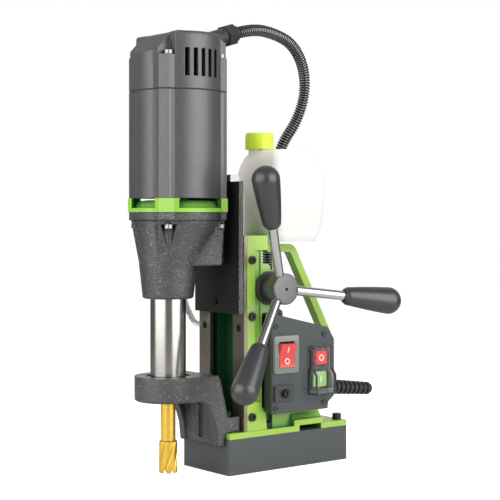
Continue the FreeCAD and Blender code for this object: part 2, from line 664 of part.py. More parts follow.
def make_rack():
    """Straight rack on the back of the slide bar, in mesh with the capstan's pinion."""
    pitch = math.pi * RACK_MODULE
    slope = math.tan(math.radians(20))
    thickness = pitch / 2 - 0.28 * RACK_MODULE
    root = RACK_PITCH_Y - 1.3 * RACK_MODULE
    below = math.floor((PINION_AXIS_Z - PLATE_BOTTOM - pitch) / pitch)
    first = PINION_AXIS_Z + pitch / 2 - below * pitch
    outline = [(TEE_BACK, first - pitch / 2)]
    for tooth in range(RACK_TEETH):
        z = first + tooth * pitch
        wide = thickness / 2 + 1.3 * RACK_MODULE * slope
        narrow = thickness / 2 - RACK_MODULE * slope
        outline += [(root, z - wide), (RACK_TIPS, z - narrow), (RACK_TIPS, z + narrow), (root, z + wide)]
    outline.append((TEE_BACK, first + (RACK_TEETH - 0.5) * pitch))
    node("gear_rack", along_x(outline, (-RACK_WIDTH / 2, RACK_WIDTH / 2)))


# ================================================================ capstan
def arm_direction(index):
    angle = math.radians(ARM_START_ANGLE + 360 / ARM_COUNT * index)
    tilt = math.radians(ARM_TILT)
    return V(math.sin(tilt), math.cos(tilt) * math.cos(angle), math.cos(tilt) * math.sin(angle))


def make_capstan():
    axis = (PINION_Y, PINION_AXIS_Z)
    pinion = gear(PINION_TEETH, RACK_MODULE, RACK_WIDTH + 2, 0, (0, 0), 90)
    lay = FreeCAD.Placement(V(-RACK_WIDTH / 2 - 1, *axis), FreeCAD.Rotation(V(0, 0, 1), V(1, 0, 0)))
    pinion.Placement = lay
    shaft = rod(SHAFT_RADIUS, (-CHEEK_OUT + 1, *axis), (HUB_BACK + 4, *axis))
    node("pinion_shaft", fuse(pinion, shaft))
    neck = rod(HUB_NECK_RADIUS, (COLLAR_FACE + SLIDING, *axis), (HUB_BACK, *axis))
    disc = rod(HUB_RADIUS, (HUB_BACK, *axis), (HUB_FACE, *axis))
    disc = disc.makeFillet(1.5, [e for e in disc.Edges if e.BoundBox.XLength < 0.01])
    hub = fuse(neck, disc)
    hub = hub.cut(rod(SHAFT_RADIUS, (COLLAR_FACE, *axis), (HUB_BACK + 4, *axis)))
    root = V(HUB_BACK + HUB_THICKNESS / 2 - 2.5, *axis)
    rods = []
    knobs = []
    for index in range(ARM_COUNT):
        out = arm_direction(index)
        inner = root + out * (HUB_RADIUS * 0.5)
        hub = hub.cut(rod(ARM_ROD_RADIUS, inner, root + out * 40))
        bar = rod(ARM_ROD_RADIUS, inner, root + out * (ARM_LENGTH - KNOB_LENGTH + KNOB_SOCKET))
        rods.append(bar)
        knobs.append(make_knob(root, out))
    node("capstan_hub", hub)
    node("capstan_rods", group(rods))
    node("capstan_knobs", group(knobs))


def make_knob(root, out):
    """Pear-shaped grip with a domed end, hollow over its rod."""
    dome = KNOB_RADIUS * 0.92
    length = KNOB_LENGTH
    profile = [V(0, 0, 0), V(KNOB_NECK_RADIUS - 2, 0, 0), V(KNOB_NECK_RADIUS, 0, 3),
               V(KNOB_RADIUS, 0, length - dome)]
    flank = Part.BSplineCurve()
    flank.interpolate([profile[2], V(KNOB_RADIUS * 0.86, 0, length * 0.42), profile[3]])
    tip = V(1.0, 0, length)
    end = Part.Arc(profile[3], V(KNOB_RADIUS * 0.76, 0, length - dome * 0.35), tip)
    edges = [Part.LineSegment(profile[0], profile[1]).toShape(),
             Part.LineSegment(profile[1], profile[2]).toShape(),
             flank.toShape(), end.toShape(), Part.LineSegment(tip, V(0, 0, length)).toShape(),
             Part.LineSegment(V(0, 0, length), profile[0]).toShape()]
    grip = Part.Face(Part.Wire(edges)).revolve(V(0, 0, 0), V(0, 0, 1), 360)
    grip = grip.cut(rod(ARM_ROD_RADIUS, (0, 0, -1), (0, 0, KNOB_SOCKET)))
    grip.Placement = FreeCAD.Placement(root + out * (ARM_LENGTH - length), FreeCAD.Rotation(V(0, 0, 1), out))
    return grip


# ================================================================ gearbox and motor shell
def motor_outline(inset):
    """Corner points of the motor's front and rear faces, pulled in by inset."""
    x, front, rear = MOTOR_HALF_WIDTH - inset, MOTOR_FRONT + inset, MOTOR_REAR - inset
    return [(-x, front + CORNER_Y), (-x + CORNER_X, front), (x - CORNER_X, front), (x, front + CORNER_Y),
            (x, rear - CORNER_Y), (x - CORNER_X, rear), (-x + CORNER_X, rear), (-x, rear - CORNER_Y)]


def motor_prism(inset, zs):
    """Round-sided motor section: a square with cut corners joined to a barrel."""
    barrel = rod(MOTOR_ROUND_RADIUS - inset, (0, MOTOR_Y, zs[0]), (0, MOTOR_Y, zs[1]))
    return fuse(along_z(motor_outline(inset), zs), barrel)


def make_gearbox():
    nose = cone(NOSE_RADIUS, NOSE_SHOULDER_RADIUS, (0, SPINDLE_Y, GEARBOX_BOTTOM), (0, SPINDLE_Y, SHOULDER_Z))
    nose = nose.makeFillet(2.5, [e for e in nose.Edges if abs(e.BoundBox.ZMax - GEARBOX_BOTTOM) < 0.01])
    wide = BODY_HALF_WIDTH
    rear = MOTOR_REAR - 2.5
    lower = [(-wide + 3, SPINDLE_Y - 8), (-16.0, SPINDLE_Y - 24), (16.0, SPINDLE_Y - 24),
             (wide - 3, SPINDLE_Y - 8), (wide, rear - CORNER_Y), (wide - CORNER_X, rear),
             (-wide + CORNER_X, rear), (-wide, rear - CORNER_Y)]
    top_points = motor_outline(1.5)

    def loop(points, z):
        corners = [V(x, y, z) for x, y in points]
        return Part.makePolygon(corners + corners[:1])

    shoulder = Part.makeLoft([loop(lower, SHOULDER_Z), loop(top_points, GEARBOX_TOP)], True, True)

    def circle(radius, y, z):
        return Part.Wire(Part.Circle(V(0, y, z), V(0, 0, 1), radius).toShape())

    barrel = Part.makeLoft([circle(NOSE_SHOULDER_RADIUS, SPINDLE_Y, SHOULDER_Z),
                            circle(MOTOR_ROUND_RADIUS - 1.5, MOTOR_Y, GEARBOX_TOP)], True, True)
    half = BLOCK_WIDTH / 2
    block = box((-half, half), (SPINDLE_Y, PLATE_FRONT), (SHOULDER_Z, GEARBOX_TOP))
    body = fuse(nose, shoulder, barrel, block)
    groove_top = GEARBOX_TOP - SCREW_FLANGE
    grooves = [groove(body, x, y, groove_top) for x, y in SCREW_PLACES]
    body = cut(body, *grooves)
    for x, y in SCREW_PLACES:
        body = body.cut(rod(SCREW_HEAD_RADIUS + 0.9, (x, y, groove_top - 5), (x, y, groove_top)))
        body = body.cut(rod(2.5 + RUNNING, (x, y, GEARBOX_TOP - 5), (x, y, GEARBOX_TOP + 1)))
    gear_tip = (SPINDLE_GEAR_TEETH / 2 + 1) * SPINDLE_GEAR_MODULE
    idler_tip = (IDLER_GEAR_TEETH / 2 + 1) * MOTOR_GEAR_MODULE
    floor = SPINDLE_GEAR_Z - 2
    chamber = fuse(rod(gear_tip + 1.2, (0, SPINDLE_Y, floor), (0, SPINDLE_Y, GEARBOX_TOP + 1)),
                   rod(idler_tip + 1.0, (0, IDLER_Y, floor), (0, IDLER_Y, GEARBOX_TOP + 1)))
    body = body.cut(chamber)
    seat = (0, SPINDLE_Y, GEARBOX_BOTTOM + 4)
    body = body.cut(rod(ARBOR_RADIUS + 0.4, (0, SPINDLE_Y, GEARBOX_BOTTOM - 1), seat))
    body = body.cut(rod(BEARING_RADIUS, seat, (0, SPINDLE_Y, SPINDLE_BEARINGS[0] + 10)))
    body = body.cut(rod(JOURNAL_RADIUS + 1.5, (0, SPINDLE_Y, GEARBOX_BOTTOM), (0, SPINDLE_Y, floor + 1)))
    body = body.cut(rod(BEARING_RADIUS, (0, SPINDLE_Y, SPINDLE_BEARINGS[1]), (0, SPINDLE_Y, floor + 1)))
    body = body.cut(rod(IDLER_SHAFT_RADIUS + RUNNING, (0, IDLER_Y, floor - 6), (0, IDLER_Y, floor + 1)))
    body = body.cut(rod(3.0, (NOZZLE_X, NOZZLE_Y, SHOULDER_Z - 3), (NOZZLE_X, NOZZLE_Y, SHOULDER_Z + 6)))
    node("gearbox_housing", body)
    nozzle = tube(3.0, 1.6, (NOZZLE_X, NOZZLE_Y, TUBE_END_Z + 8), (NOZZLE_X, NOZZLE_Y, SHOULDER_Z + 6))
    barb = tube(TUBE_DIAMETER / 2 - TUBE_WALL, 1.2, (NOZZLE_X, NOZZLE_Y, TUBE_END_Z),
                (NOZZLE_X, NOZZLE_Y, TUBE_END_Z + 8))
    node("coolant_nozzle", fuse(nozzle, barb))

    plate = motor_prism(0, (GEARBOX_TOP, GEAR_PLATE_TOP))
    plate = plate.cut(rod(ARMATURE_SHAFT_RADIUS + 1, (0, MOTOR_Y, GEARBOX_TOP - 1), (0, MOTOR_Y, 300)))
    plate = plate.cut(rod(ARMATURE_BEARING_RADIUS, (0, MOTOR_Y, GEAR_PLATE_TOP - 6), (0, MOTOR_Y, 300)))
    plate = plate.cut(rod(IDLER_SHAFT_RADIUS + RUNNING, (0, IDLER_Y, GEARBOX_TOP - 1),
                          (0, IDLER_Y, GEARBOX_TOP + 3.5)))
    for x, y in SCREW_PLACES:
        plate = plate.cut(rod(2.5 + RUNNING, (x, y, GEARBOX_TOP - 1), (x, y, GEAR_PLATE_TOP + 1)))
    node("gear_plate", plate)


def groove(body, x, y, top):
    """Scoop from under a screw head down to a point on the body's slanting wall."""
    level = top - GROOVE_LENGTH
    centre = V(0, SPINDLE_Y, level)
    probe = Part.makeLine(centre, centre + (V(x, y, level) - centre) * 2)
    ends = [v.Point for v in probe.common(body).Vertexes]
    tip = max(ends, key=centre.distanceToPoint)
    way = V(x, y, top) - tip
    scoop = cone(0.3, GROOVE_RADIUS * 1.3, tip, tip + way * 1.3)
    return scoop.common(box((x - 30, x + 30), (y - 30, y + 30), (level - 5, top)))


def outline_loop(inset, z):
    """Closed wire of the motor's square section at one height."""
    corners = [V(x, y, z) for x, y in motor_outline(inset)]
    return Part.makePolygon(corners + corners[:1])


def leaning_prism(inset, lean, zs):
    """Motor section that narrows upwards by lean."""
    square = Part.makeLoft([outline_loop(inset, zs[0]), outline_loop(inset + lean, zs[1])], True, True)
    barrel = cone(MOTOR_ROUND_RADIUS - inset, MOTOR_ROUND_RADIUS - inset - lean,
                  (0, MOTOR_Y, zs[0]), (0, MOTOR_Y, zs[1]))
    return fuse(square, barrel)


def make_outlet_ring():
    """Air outlet under the motor: a low rail, corner posts and a leaning wall behind the windows."""
    zs = (GEAR_PLATE_TOP, MOTOR_BOTTOM)
    inner = HOUSING_WALL - RING_PROUD
    ring = motor_prism(-RING_PROUD, zs).cut(motor_prism(inner, (zs[0] - 1, zs[1] + 1)))
    window = (zs[0] + RING_RAIL, zs[1] + 1)
    front_half = MOTOR_HALF_WIDTH - CORNER_X - 6
    side_y = (MOTOR_FRONT + CORNER_Y + 10.5, MOTOR_REAR - CORNER_Y - 8)
    ring = ring.cut(box((-front_half, front_half), (MOTOR_FRONT - 5, MOTOR_FRONT + 8), window))
    ring = ring.cut(box((-60, 60), side_y, window))
    wall_zs = (zs[0], zs[1] - 2.5)
    wall = leaning_prism(inner - 1, DEFLECTOR_LEAN, wall_zs)
    wall = wall.cut(leaning_prism(inner - 1 + DEFLECTOR_WALL, DEFLECTOR_LEAN, wall_zs))
    posts = [rod(5.5, (x, y, zs[0]), (x, y, zs[1])) for x, y in SCREW_PLACES]
    holes = [rod(2.5 + RUNNING, (x, y, zs[0] - 1), (x, y, zs[1] + 1)) for x, y in SCREW_PLACES]
    node("outlet_ring", cut(fuse(ring, wall, *posts), *holes))


def seam(z):
    """Thin band round the motor's outside, half of which is cut from each side of the seam at z."""
    zs = (z - SEAM_GROOVE, z + SEAM_GROOVE)
    return motor_prism(-1, zs).cut(motor_prism(SEAM_GROOVE, zs))


def make_motor():
    split = (MOTOR_BOTTOM, MOTOR_SPLIT)
    housing = motor_prism(0, split).cut(motor_prism(HOUSING_WALL, (split[0] - 1, split[1] - 6)))
    housing = housing.cut(rod(ARMATURE_BEARING_RADIUS, (0, MOTOR_Y, split[1] - 8),
                              (0, MOTOR_Y, split[1] + 1)))
    for angle in (45, 135, 225, 315):
        x = 24 * math.cos(math.radians(angle))
        y = MOTOR_Y + 24 * math.sin(math.radians(angle))
        housing = housing.cut(rod(7, (x, y, split[1] - 8), (x, y, split[1] + 1)))
    posts = [rod(5.0, (x, y, split[0]), (x, y, split[1])) for x, y in SCREW_PLACES]
    housing = fuse(housing, *posts)
    for x, y in SCREW_PLACES:
        housing = housing.cut(rod(2.5 + RUNNING, (x, y, split[0] - 1), (x, y, split[0] + 14)))
        housing = housing.cut(rod(2.5 + RUNNING, (x, y, split[1] - 14), (x, y, split[1] + 1)))
    node("motor_housing", housing.cut(seam(MOTOR_SPLIT)))
    make_motor_cap()
    screws = []
    for x, y in SCREW_PLACES:
        screws.append(cap_screw((x, y, GEARBOX_TOP - SCREW_FLANGE), (0, 0, -1), SCREW_HEAD_RADIUS, 4.0, 2.5,
                                GEAR_PLATE_TOP - GEARBOX_TOP + RING_HEIGHT + SCREW_FLANGE + 12))
        screws.append(cap_screw((x, y, SCREW_LEDGE), (0, 0, 1), SCREW_HEAD_RADIUS, 4.0, 2.5,
                                SCREW_LEDGE - MOTOR_SPLIT + 12))
    node("motor_screws", group(screws))
    make_motor_inside()


def make_motor_cap():
    zs = (MOTOR_SPLIT, MOTOR_TOP)

    def capped(inset, zs):
        solid = motor_prism(inset, zs)
        y, z = MOTOR_FRONT + inset, zs[1]
        bevel = along_x([(y - 5, z - CAP_CHAMFER_Z), (y, z - CAP_CHAMFER_Z), (y + CAP_CHAMFER_Y, z),
                         (y + CAP_CHAMFER_Y, z + 5), (y - 5, z + 5)], (-60, 60))
        rear = MOTOR_REAR - inset
        slope = along_x([(rear + 5, z - 7), (rear, z - 7), (rear - 12, z), (rear - 12, z + 5),
                         (rear + 5, z + 5)], (-60, 60))
        return solid.cut(bevel).cut(slope)

    cap = capped(0, zs).cut(capped(HOUSING_WALL, (zs[0] - 1, zs[1] - HOUSING_WALL)))
    posts = [rod(6.0, (x, y, zs[0]), (x, y, SCREW_LEDGE)) for x, y in SCREW_PLACES]
    pockets = []
    for x, y in SCREW_PLACES:
        side = 1 if x > 0 else -1
        out = 1 if y > MOTOR_Y else -1
        lined = box((min(x - side * 7, side * 50), max(x - side * 7, side * 50)),
                    (min(y - out * 6, y + out * 20), max(y - out * 6, y + out * 20)),
                    (SCREW_LEDGE - 2, MOTOR_TOP + 1))
        pockets.append(lined.common(capped(0, zs)))
        cap = fuse(cap, pockets[-1])
    for x, y in SCREW_PLACES:
        side = 1 if x > 0 else -1
        out = 1 if y > MOTOR_Y else -1
        open_side = box((min(x - side * 5, side * 50), max(x - side * 5, side * 50)),
                        (min(y - out * 4.5, y + out * 20), max(y - out * 4.5, y + out * 20)),
                        (SCREW_LEDGE, MOTOR_TOP + 1))
        cap = cap.cut(open_side)
    cap = fuse(cap, *[p.common(capped(0, zs)) for p in posts])
    for x, y in SCREW_PLACES:
        cap = cap.cut(rod(2.5 + RUNNING, (x, y, zs[0] - 1), (x, y, SCREW_LEDGE + 1)))
    for index in range(VENT_COUNT):
        y = MOTOR_Y + (index - (VENT_COUNT - 1) / 2) * VENT_PITCH
        cap = cap.cut(box((-60, 60), (y - VENT_WIDTH / 2, y + VENT_WIDTH / 2), (VENT_BOTTOM, VENT_TOP)))
    foot, out = gland_axis()
    cap = cap.cut(rod(FITTING_RADIUS - 2 + RUNNING, foot - out * 12, foot + out * 10))
    cap = cap.cut(rod(FITTING_RADIUS + RUNNING, foot + out * 4, foot + out * 24))
    node("motor_cap", cap.cut(seam(MOTOR_SPLIT)))
    body = fuse(rod(FITTING_RADIUS - 2, foot - out * 6, foot + out * 6),
                rod(FITTING_RADIUS, foot + out * 4, foot + out * 24),
                hexagon(NUT_ACROSS, foot + out * 24, foot + out * 35),
                rod(FITTING_RADIUS - 0.5, foot + out * 35, foot + out * GLAND_LENGTH))
    body = body.cut(rod(HOSE_BORE / 2, foot - out * 8, foot + out * 60))
    node("upper_conduit_fitting", body)


def gland_axis():
    """Foot and direction of the conduit fitting on the motor's cap."""
    start = V(*HOSE_ROUTE[0])
    out = V(*HOSE_ROUTE[1]) - start
    out.normalize()
    return start - out * GLAND_LENGTH, out


def make_motor_inside():
    shaft_top = MOTOR_SPLIT - 1.5
    pinion = gear(MOTOR_PINION_TEETH, MOTOR_GEAR_MODULE, IDLER_GEAR_FACE + 2, IDLER_GEAR_Z - 1,
                  (0, MOTOR_Y), 90, addendum=0.9)
    shaft = rod(ARMATURE_SHAFT_RADIUS, (0, MOTOR_Y, IDLER_GEAR_Z + IDLER_GEAR_FACE + 1),
                (0, MOTOR_Y, shaft_top))
    node("armature_shaft", fuse(shaft, pinion))
    core = tube(CORE_RADIUS, ARMATURE_SHAFT_RADIUS, (0, MOTOR_Y, CORE_BOTTOM), (0, MOTOR_Y, CORE_TOP))
    for index in range(12):
        angle = math.radians(30 * index)
        x = (CORE_RADIUS - 2) * math.cos(angle)
        y = MOTOR_Y + (CORE_RADIUS - 2) * math.sin(angle)
        core = core.cut(box((x - 1.2, x + 1.2), (y - 1.2, y + 1.2), (CORE_BOTTOM - 1, CORE_TOP + 1)))
    ends = [tube(CORE_RADIUS - 4, ARMATURE_SHAFT_RADIUS, (0, MOTOR_Y, z), (0, MOTOR_Y, z + 6))
            for z in (CORE_BOTTOM - 6, CORE_TOP)]
    commutator = tube(COMMUTATOR_RADIUS, ARMATURE_SHAFT_RADIUS, (0, MOTOR_Y, CORE_TOP + 8),
                      (0, MOTOR_Y, CORE_TOP + 24))
    node("armature_core", group([fuse(core, *ends), commutator]))
    hub_z = GEAR_PLATE_TOP + 2
    hub = tube(8.0, ARMATURE_SHAFT_RADIUS, (0, MOTOR_Y, hub_z), (0, MOTOR_Y, hub_z + 10))
    disc = tube(FAN_RADIUS, 7.0, (0, MOTOR_Y, hub_z + 8.5), (0, MOTOR_Y, hub_z + 10))
    blades = []
    for index in range(FAN_BLADES):
        blade = box((12, FAN_RADIUS - 0.5), (-0.6, 0.6), (hub_z + 2, hub_z + 9))
        blade.rotate(V(0, 0, 0), V(0, 0, 1), 360 / FAN_BLADES * index)
        blade.translate(V(0, MOTOR_Y, 0))
        blades.append(blade)
    node("cooling_fan", fuse(hub, disc, *blades))
    stator_in = CORE_RADIUS + AIR_GAP
    stator = rod(MOTOR_ROUND_RADIUS - HOUSING_WALL - SEAT, (0, MOTOR_Y, CORE_BOTTOM), (0, MOTOR_Y, CORE_TOP))
    stator = stator.common(box((-60, 60), (MOTOR_Y - 34, MOTOR_Y + 34), (0, 500)))
    stator = stator.cut(rod(stator_in, (0, MOTOR_Y, 0), (0, MOTOR_Y, 500)))
    slots = [box((sx * 14 - 7, sx * 14 + 7), (MOTOR_Y + sy * 26 - 4, MOTOR_Y + sy * 26 + 4),
                 (CORE_BOTTOM - 1, CORE_TOP + 1)) for sx in (-1, 1) for sy in (-1, 1)]
    posts = [rod(5.0 + SEAT, (x, y, CORE_BOTTOM - 1), (x, y, CORE_TOP + 1)) for x, y in SCREW_PLACES]
    node("field_stator", cut(stator, *slots, *posts))
    brushes = []
    height = CORE_TOP + 16
    for side in (-1, 1):
        reach = math.sqrt((MOTOR_ROUND_RADIUS - HOUSING_WALL) ** 2 - 36) - 0.1
        xs = sorted((side * (COMMUTATOR_RADIUS + 4), side * reach))
        holder = box(xs, (MOTOR_Y - 6, MOTOR_Y + 6), (height - 6, height + 6))
        holder = holder.cut(box(xs, (MOTOR_Y - 4, MOTOR_Y + 4), (height - 4, height + 4)))
        brush_xs = sorted((side * (COMMUTATOR_RADIUS + SLIDING), side * (COMMUTATOR_RADIUS + 16)))
        brushes += [holder, box(brush_xs, (MOTOR_Y - 4, MOTOR_Y + 4), (height - 4, height + 4))]
    node("brush_gear", group(brushes))
    seats = [(ARMATURE_BEARING_RADIUS, ARMATURE_SHAFT_RADIUS, MOTOR_Y, GEAR_PLATE_TOP - 6, 6.0),
             (ARMATURE_BEARING_RADIUS, ARMATURE_SHAFT_RADIUS, MOTOR_Y, MOTOR_SPLIT - 8 + SEAT, 6.0),
             (BEARING_RADIUS, JOURNAL_RADIUS, SPINDLE_Y, SPINDLE_BEARINGS[0], 9.5),
             (BEARING_RADIUS, JOURNAL_RADIUS, SPINDLE_Y, SPINDLE_BEARINGS[1], 9.5)]
    rings = [ball_bearing(*seat) for seat in seats]
    node("ball_bearings", group(rings))


def ball_bearing(outer, bore, y, bottom, width):
    """Shielded ball bearing with shallow grooves between its rings and shields."""
    track = (outer - bore - RUNNING) / 3
    inside = bore + RUNNING
    top = width - 0.4
    profile = [(inside, 0), (inside + track, 0), (inside + track, 0.4), (outer - track, 0.4),
               (outer - track, 0), (outer, 0), (outer, width), (outer - track, width),
               (outer - track, top), (inside + track, top),
               (inside + track, width), (inside, width)]
    return turned(profile, (0, y, bottom), (0, 0, 1))


# ================================================================ spindle train
def make_spindle():
    at = (0, SPINDLE_Y)
    shoulder = GEARBOX_BOTTOM + 2
    journal_top = SPINDLE_GEAR_Z + SPINDLE_GEAR_FACE + 3
    arbor = fuse(rod(ARBOR_RADIUS, (*at, ARBOR_BOTTOM), (*at, shoulder)),
                 rod(JOURNAL_RADIUS, (*at, shoulder), (*at, SPINDLE_GEAR_Z)),
                 rod(JOURNAL_RADIUS - 2, (*at, SPINDLE_GEAR_Z), (*at, journal_top)))
    rim = [e for e in arbor.Edges if abs(e.BoundBox.ZMax - ARBOR_BOTTOM) < 0.01 and e.BoundBox.ZLength < 0.01]
    arbor = arbor.makeChamfer(1.0, rim)
    shank_top = ARBOR_BOTTOM + SHANK_LENGTH
    arbor = arbor.cut(rod(SHANK_RADIUS + 0.02, (*at, ARBOR_BOTTOM - 1), (*at, shank_top)))
    arbor = arbor.cut(rod(PILOT_RADIUS + 1.5, (*at, shank_top - 1), (*at, shank_top + PILOT_TRAVEL + 14)))
    for side in (-1, 1):
        arbor = arbor.cut(rod(4.0, (0, SPINDLE_Y, SET_SCREW_Z), (side * 40, SPINDLE_Y, SET_SCREW_Z)))
    node("arbor", arbor)
    screws = []
    for side in (-1, 1):
        start = (side * (SHANK_RADIUS - 0.8), SPINDLE_Y, SET_SCREW_Z)
        end = (side * (ARBOR_RADIUS - 1), SPINDLE_Y, SET_SCREW_Z)
        screw = rod(4.0, start, end)
        screws.append(screw.cut(hexagon(4.0, (side * (ARBOR_RADIUS - 4), SPINDLE_Y, SET_SCREW_Z),
                                        (side * ARBOR_RADIUS, SPINDLE_Y, SET_SCREW_Z))))
    node("cutter_screws", group(screws))
    wheel = gear(SPINDLE_GEAR_TEETH, SPINDLE_GEAR_MODULE, SPINDLE_GEAR_FACE, SPINDLE_GEAR_Z, at,
                 90 + 180 / SPINDLE_GEAR_TEETH, JOURNAL_RADIUS - 2)
    node("spindle_gear", wheel)
    small = gear(IDLER_PINION_TEETH, SPINDLE_GEAR_MODULE, SPINDLE_GEAR_FACE + 2, SPINDLE_GEAR_Z - 1,
                 (0, IDLER_Y), -90)
    large = gear(IDLER_GEAR_TEETH, MOTOR_GEAR_MODULE, IDLER_GEAR_FACE, IDLER_GEAR_Z, (0, IDLER_Y),
                 -90 + 180 / IDLER_GEAR_TEETH, addendum=0.9)
    shaft = rod(IDLER_SHAFT_RADIUS, (0, IDLER_Y, SPINDLE_GEAR_Z - 7), (0, IDLER_Y, GEARBOX_TOP + 3))
    node("idler_gear", fuse(small, large, shaft))
    make_cutter()


def make_cutter():
    """Annular cutter: hollow fluted body, pierced neck and flatted shank."""
    at = (0, SPINDLE_Y)
    bore = CUTTER_RADIUS - CUTTER_WALL
    body = rod(CUTTER_RADIUS, (*at, CUTTER_TIP), (*at, CUTTER_BODY_TOP))
    for index in range(CUTTER_FLUTES):
        angle = 360 / CUTTER_FLUTES * index
        body = body.cut(flute(angle)).cut(gullet(angle))
    neck = rod(CUTTER_NECK_RADIUS, (*at, CUTTER_BODY_TOP - 1), (*at, ARBOR_BOTTOM))
    shank = rod(SHANK_RADIUS, (*at, ARBOR_BOTTOM), (*at, ARBOR_BOTTOM + SHANK_LENGTH - 1))
    shoulder = cone(CUTTER_RADIUS, CUTTER_NECK_RADIUS, (*at, CUTTER_BODY_TOP),
                    (*at, CUTTER_BODY_TOP + 1.5))
    cutter = fuse(body, shoulder, neck, shank)
    cutter = cutter.cut(rod(bore, (*at, CUTTER_TIP - 1), (*at, CUTTER_BODY_TOP - 6)))
    cutter = cutter.cut(rod(PILOT_RADIUS + RUNNING, (*at, 0), (*at, 300)))
    for side in (-1, 1):
        flat_x = sorted((side * (SHANK_RADIUS - 0.8), side * 20))
        cutter = cutter.cut(box(flat_x, (SPINDLE_Y - 12, SPINDLE_Y + 12), (SET_SCREW_Z - 5, SET_SCREW_Z + 5)))
    node("annular_cutter", cutter)
    pin_top = ARBOR_BOTTOM + SHANK_LENGTH + 2
    pin = fuse(rod(PILOT_RADIUS, (*at, PILOT_TIP + 3), (*at, pin_top)),
               cone(0.4, PILOT_RADIUS, (*at, PILOT_TIP), (*at, PILOT_TIP + 3)),
               rod(PILOT_RADIUS + 1.1, (*at, pin_top), (*at, pin_top + 4)))
    node("pilot_pin", pin)


def gullet(angle):
    """Round notch through the wall, between two teeth at the cutter's rim."""
    way = V(math.cos(math.radians(angle)), math.sin(math.radians(angle)), 0)
    start = V(0, SPINDLE_Y, CUTTER_TIP + 0.6)
    inside = start + way * (CUTTER_RADIUS - CUTTER_WALL - 1)
    return rod(GULLET_RADIUS, inside, start + way * (CUTTER_RADIUS + 1))


def flute(start_angle):
    """Helical chip groove, opening into a gullet between two teeth at the rim."""
    loops = []
    height = CUTTER_BODY_TOP - CUTTER_TIP + 1.0
    for share in (0.0, 0.25, 0.5, 0.75, 1.0):
        angle = math.radians(start_angle + FLUTE_TWIST * share)
        z = CUTTER_TIP - 1 + height * share
        reach = CUTTER_RADIUS + 0.3
        centre = V(reach * math.cos(angle), SPINDLE_Y + reach * math.sin(angle), z)
        loops.append(Part.Wire(Part.Circle(centre, V(0, 0, 1), 2.1 - 0.7 * share).toShape()))
    return Part.makeLoft(loops, True, False)


# ================================================================ control box
def panel_outline(grow):
    """Side outline of the control box, shrunk by a negative grow."""
    front, rear = PANEL_FRONT - grow, PANEL_REAR + grow
    bottom, top_front, top_rear = PANEL_BOTTOM - grow, PANEL_TOP_FRONT + grow, PANEL_TOP_REAR + grow
    return [(front, bottom), (rear - 9, bottom), (rear - 8, bottom + 7), (rear, bottom + 13),
            (rear, top_rear - 13), (rear - 9, top_rear), (front + 6, top_front), (front, top_front - 7)]


def make_control_box():
    shrink = -PANEL_MARGIN
    outline = panel_outline(shrink)
    inner = panel_outline(shrink - HOUSING_SHELL)
    inner_front = WEB_BACK + SLIDING + HOUSING_SHELL
    body = along_x(outline, (HOUSING_LEFT, PANEL_BACK))
    body = body.cut(box((HOUSING_LEFT - 1, CHEEK_OUT + SLIDING), (-80, WEB_BACK + 8 + SLIDING), (0, 300)))
    cavity = along_x(inner, (HOUSING_LEFT + HOUSING_SHELL, PANEL_BACK + 1))
    cavity = cavity.cut(box((HOUSING_LEFT - 1, CHEEK_OUT + SLIDING + HOUSING_SHELL),
                            (-80, inner_front + 8), (0, 300)))
    body = body.cut(cavity)
    seat, up = lower_fitting_axis()
    boss = rod(NUT_ACROSS / 2 + 1, seat - up * 14, seat)
    body = fuse(body, boss.cut(cavity)).cut(rod(FITTING_RADIUS - 2 + RUNNING, seat - up * 20, seat + up))
    start, out = sleeve_axis()
    body = body.cut(rod(SLEEVE_RADIUS - 1.5 + RUNNING, start - out * 20, start + out * 6))
    node("control_housing", body)
    panel = along_x(panel_outline(0), (PANEL_BACK, PANEL_X))
    mag_y, mag_z = MAGNET_SWITCH_SIZE
    panel = panel.cut(box((0, 80), (MAGNET_SWITCH_Y - 12, MAGNET_SWITCH_Y + 12),
                          (MAGNET_SWITCH_Z - 15, MAGNET_SWITCH_Z + 15)))
    panel = panel.cut(box((0, 80), (MOTOR_SWITCH_Y - 11, MOTOR_SWITCH_Y + 11),
                          (MOTOR_SWITCH_Z[0] + 4, MOTOR_SWITCH_Z[1] - 4)))
    panel = panel.cut(rod(4.5, (0, FUSE_Y, FUSE_Z), (80, FUSE_Y, FUSE_Z)))
    for y, z in PANEL_SCREW_PLACES:
        panel = panel.cut(rod(1.6, (0, y, z), (80, y, z)))
    node("control_panel", panel)
    screws = [cap_screw((PANEL_X, y, z), (1, 0, 0), 2.8, 1.8, 1.5, PANEL_THICKNESS)
              for y, z in PANEL_SCREW_PLACES]
    node("panel_screws", group(screws))
    make_magnet_switch(mag_y, mag_z)
    make_motor_switch()
    make_fuse_and_board()
    make_cable_fittings()


def make_magnet_switch(size_y, size_z):
    y, z = MAGNET_SWITCH_Y, MAGNET_SWITCH_Z
    half_y, half_z = size_y / 2, size_z / 2
    frame = box((PANEL_X, PANEL_X + 3.2), (y - half_y, y + half_y), (z - half_z, z + half_z))
    frame = rounded(frame, 2.5, V(1, 0, 0))
    well = box((CHEEK_OUT + 4, PANEL_X + 1), (y - 12, y + 12), (z - 15, z + 15))
    frame = fuse(frame, well)
    frame = frame.cut(box((CHEEK_OUT + 5, PANEL_X + 5), (y - 10.3, y + 10.3), (z - 13.3, z + 13.3)))
    for side in (-1, 1):
        frame = frame.cut(rod(1.55, (ROCKER_X, y, z), (ROCKER_X, y + side * 11.4, z)))
    node("magnet_switch_frame", frame)
    rocker = rocker_shape(y, z)
    node("magnet_switch_rocker", rocker)


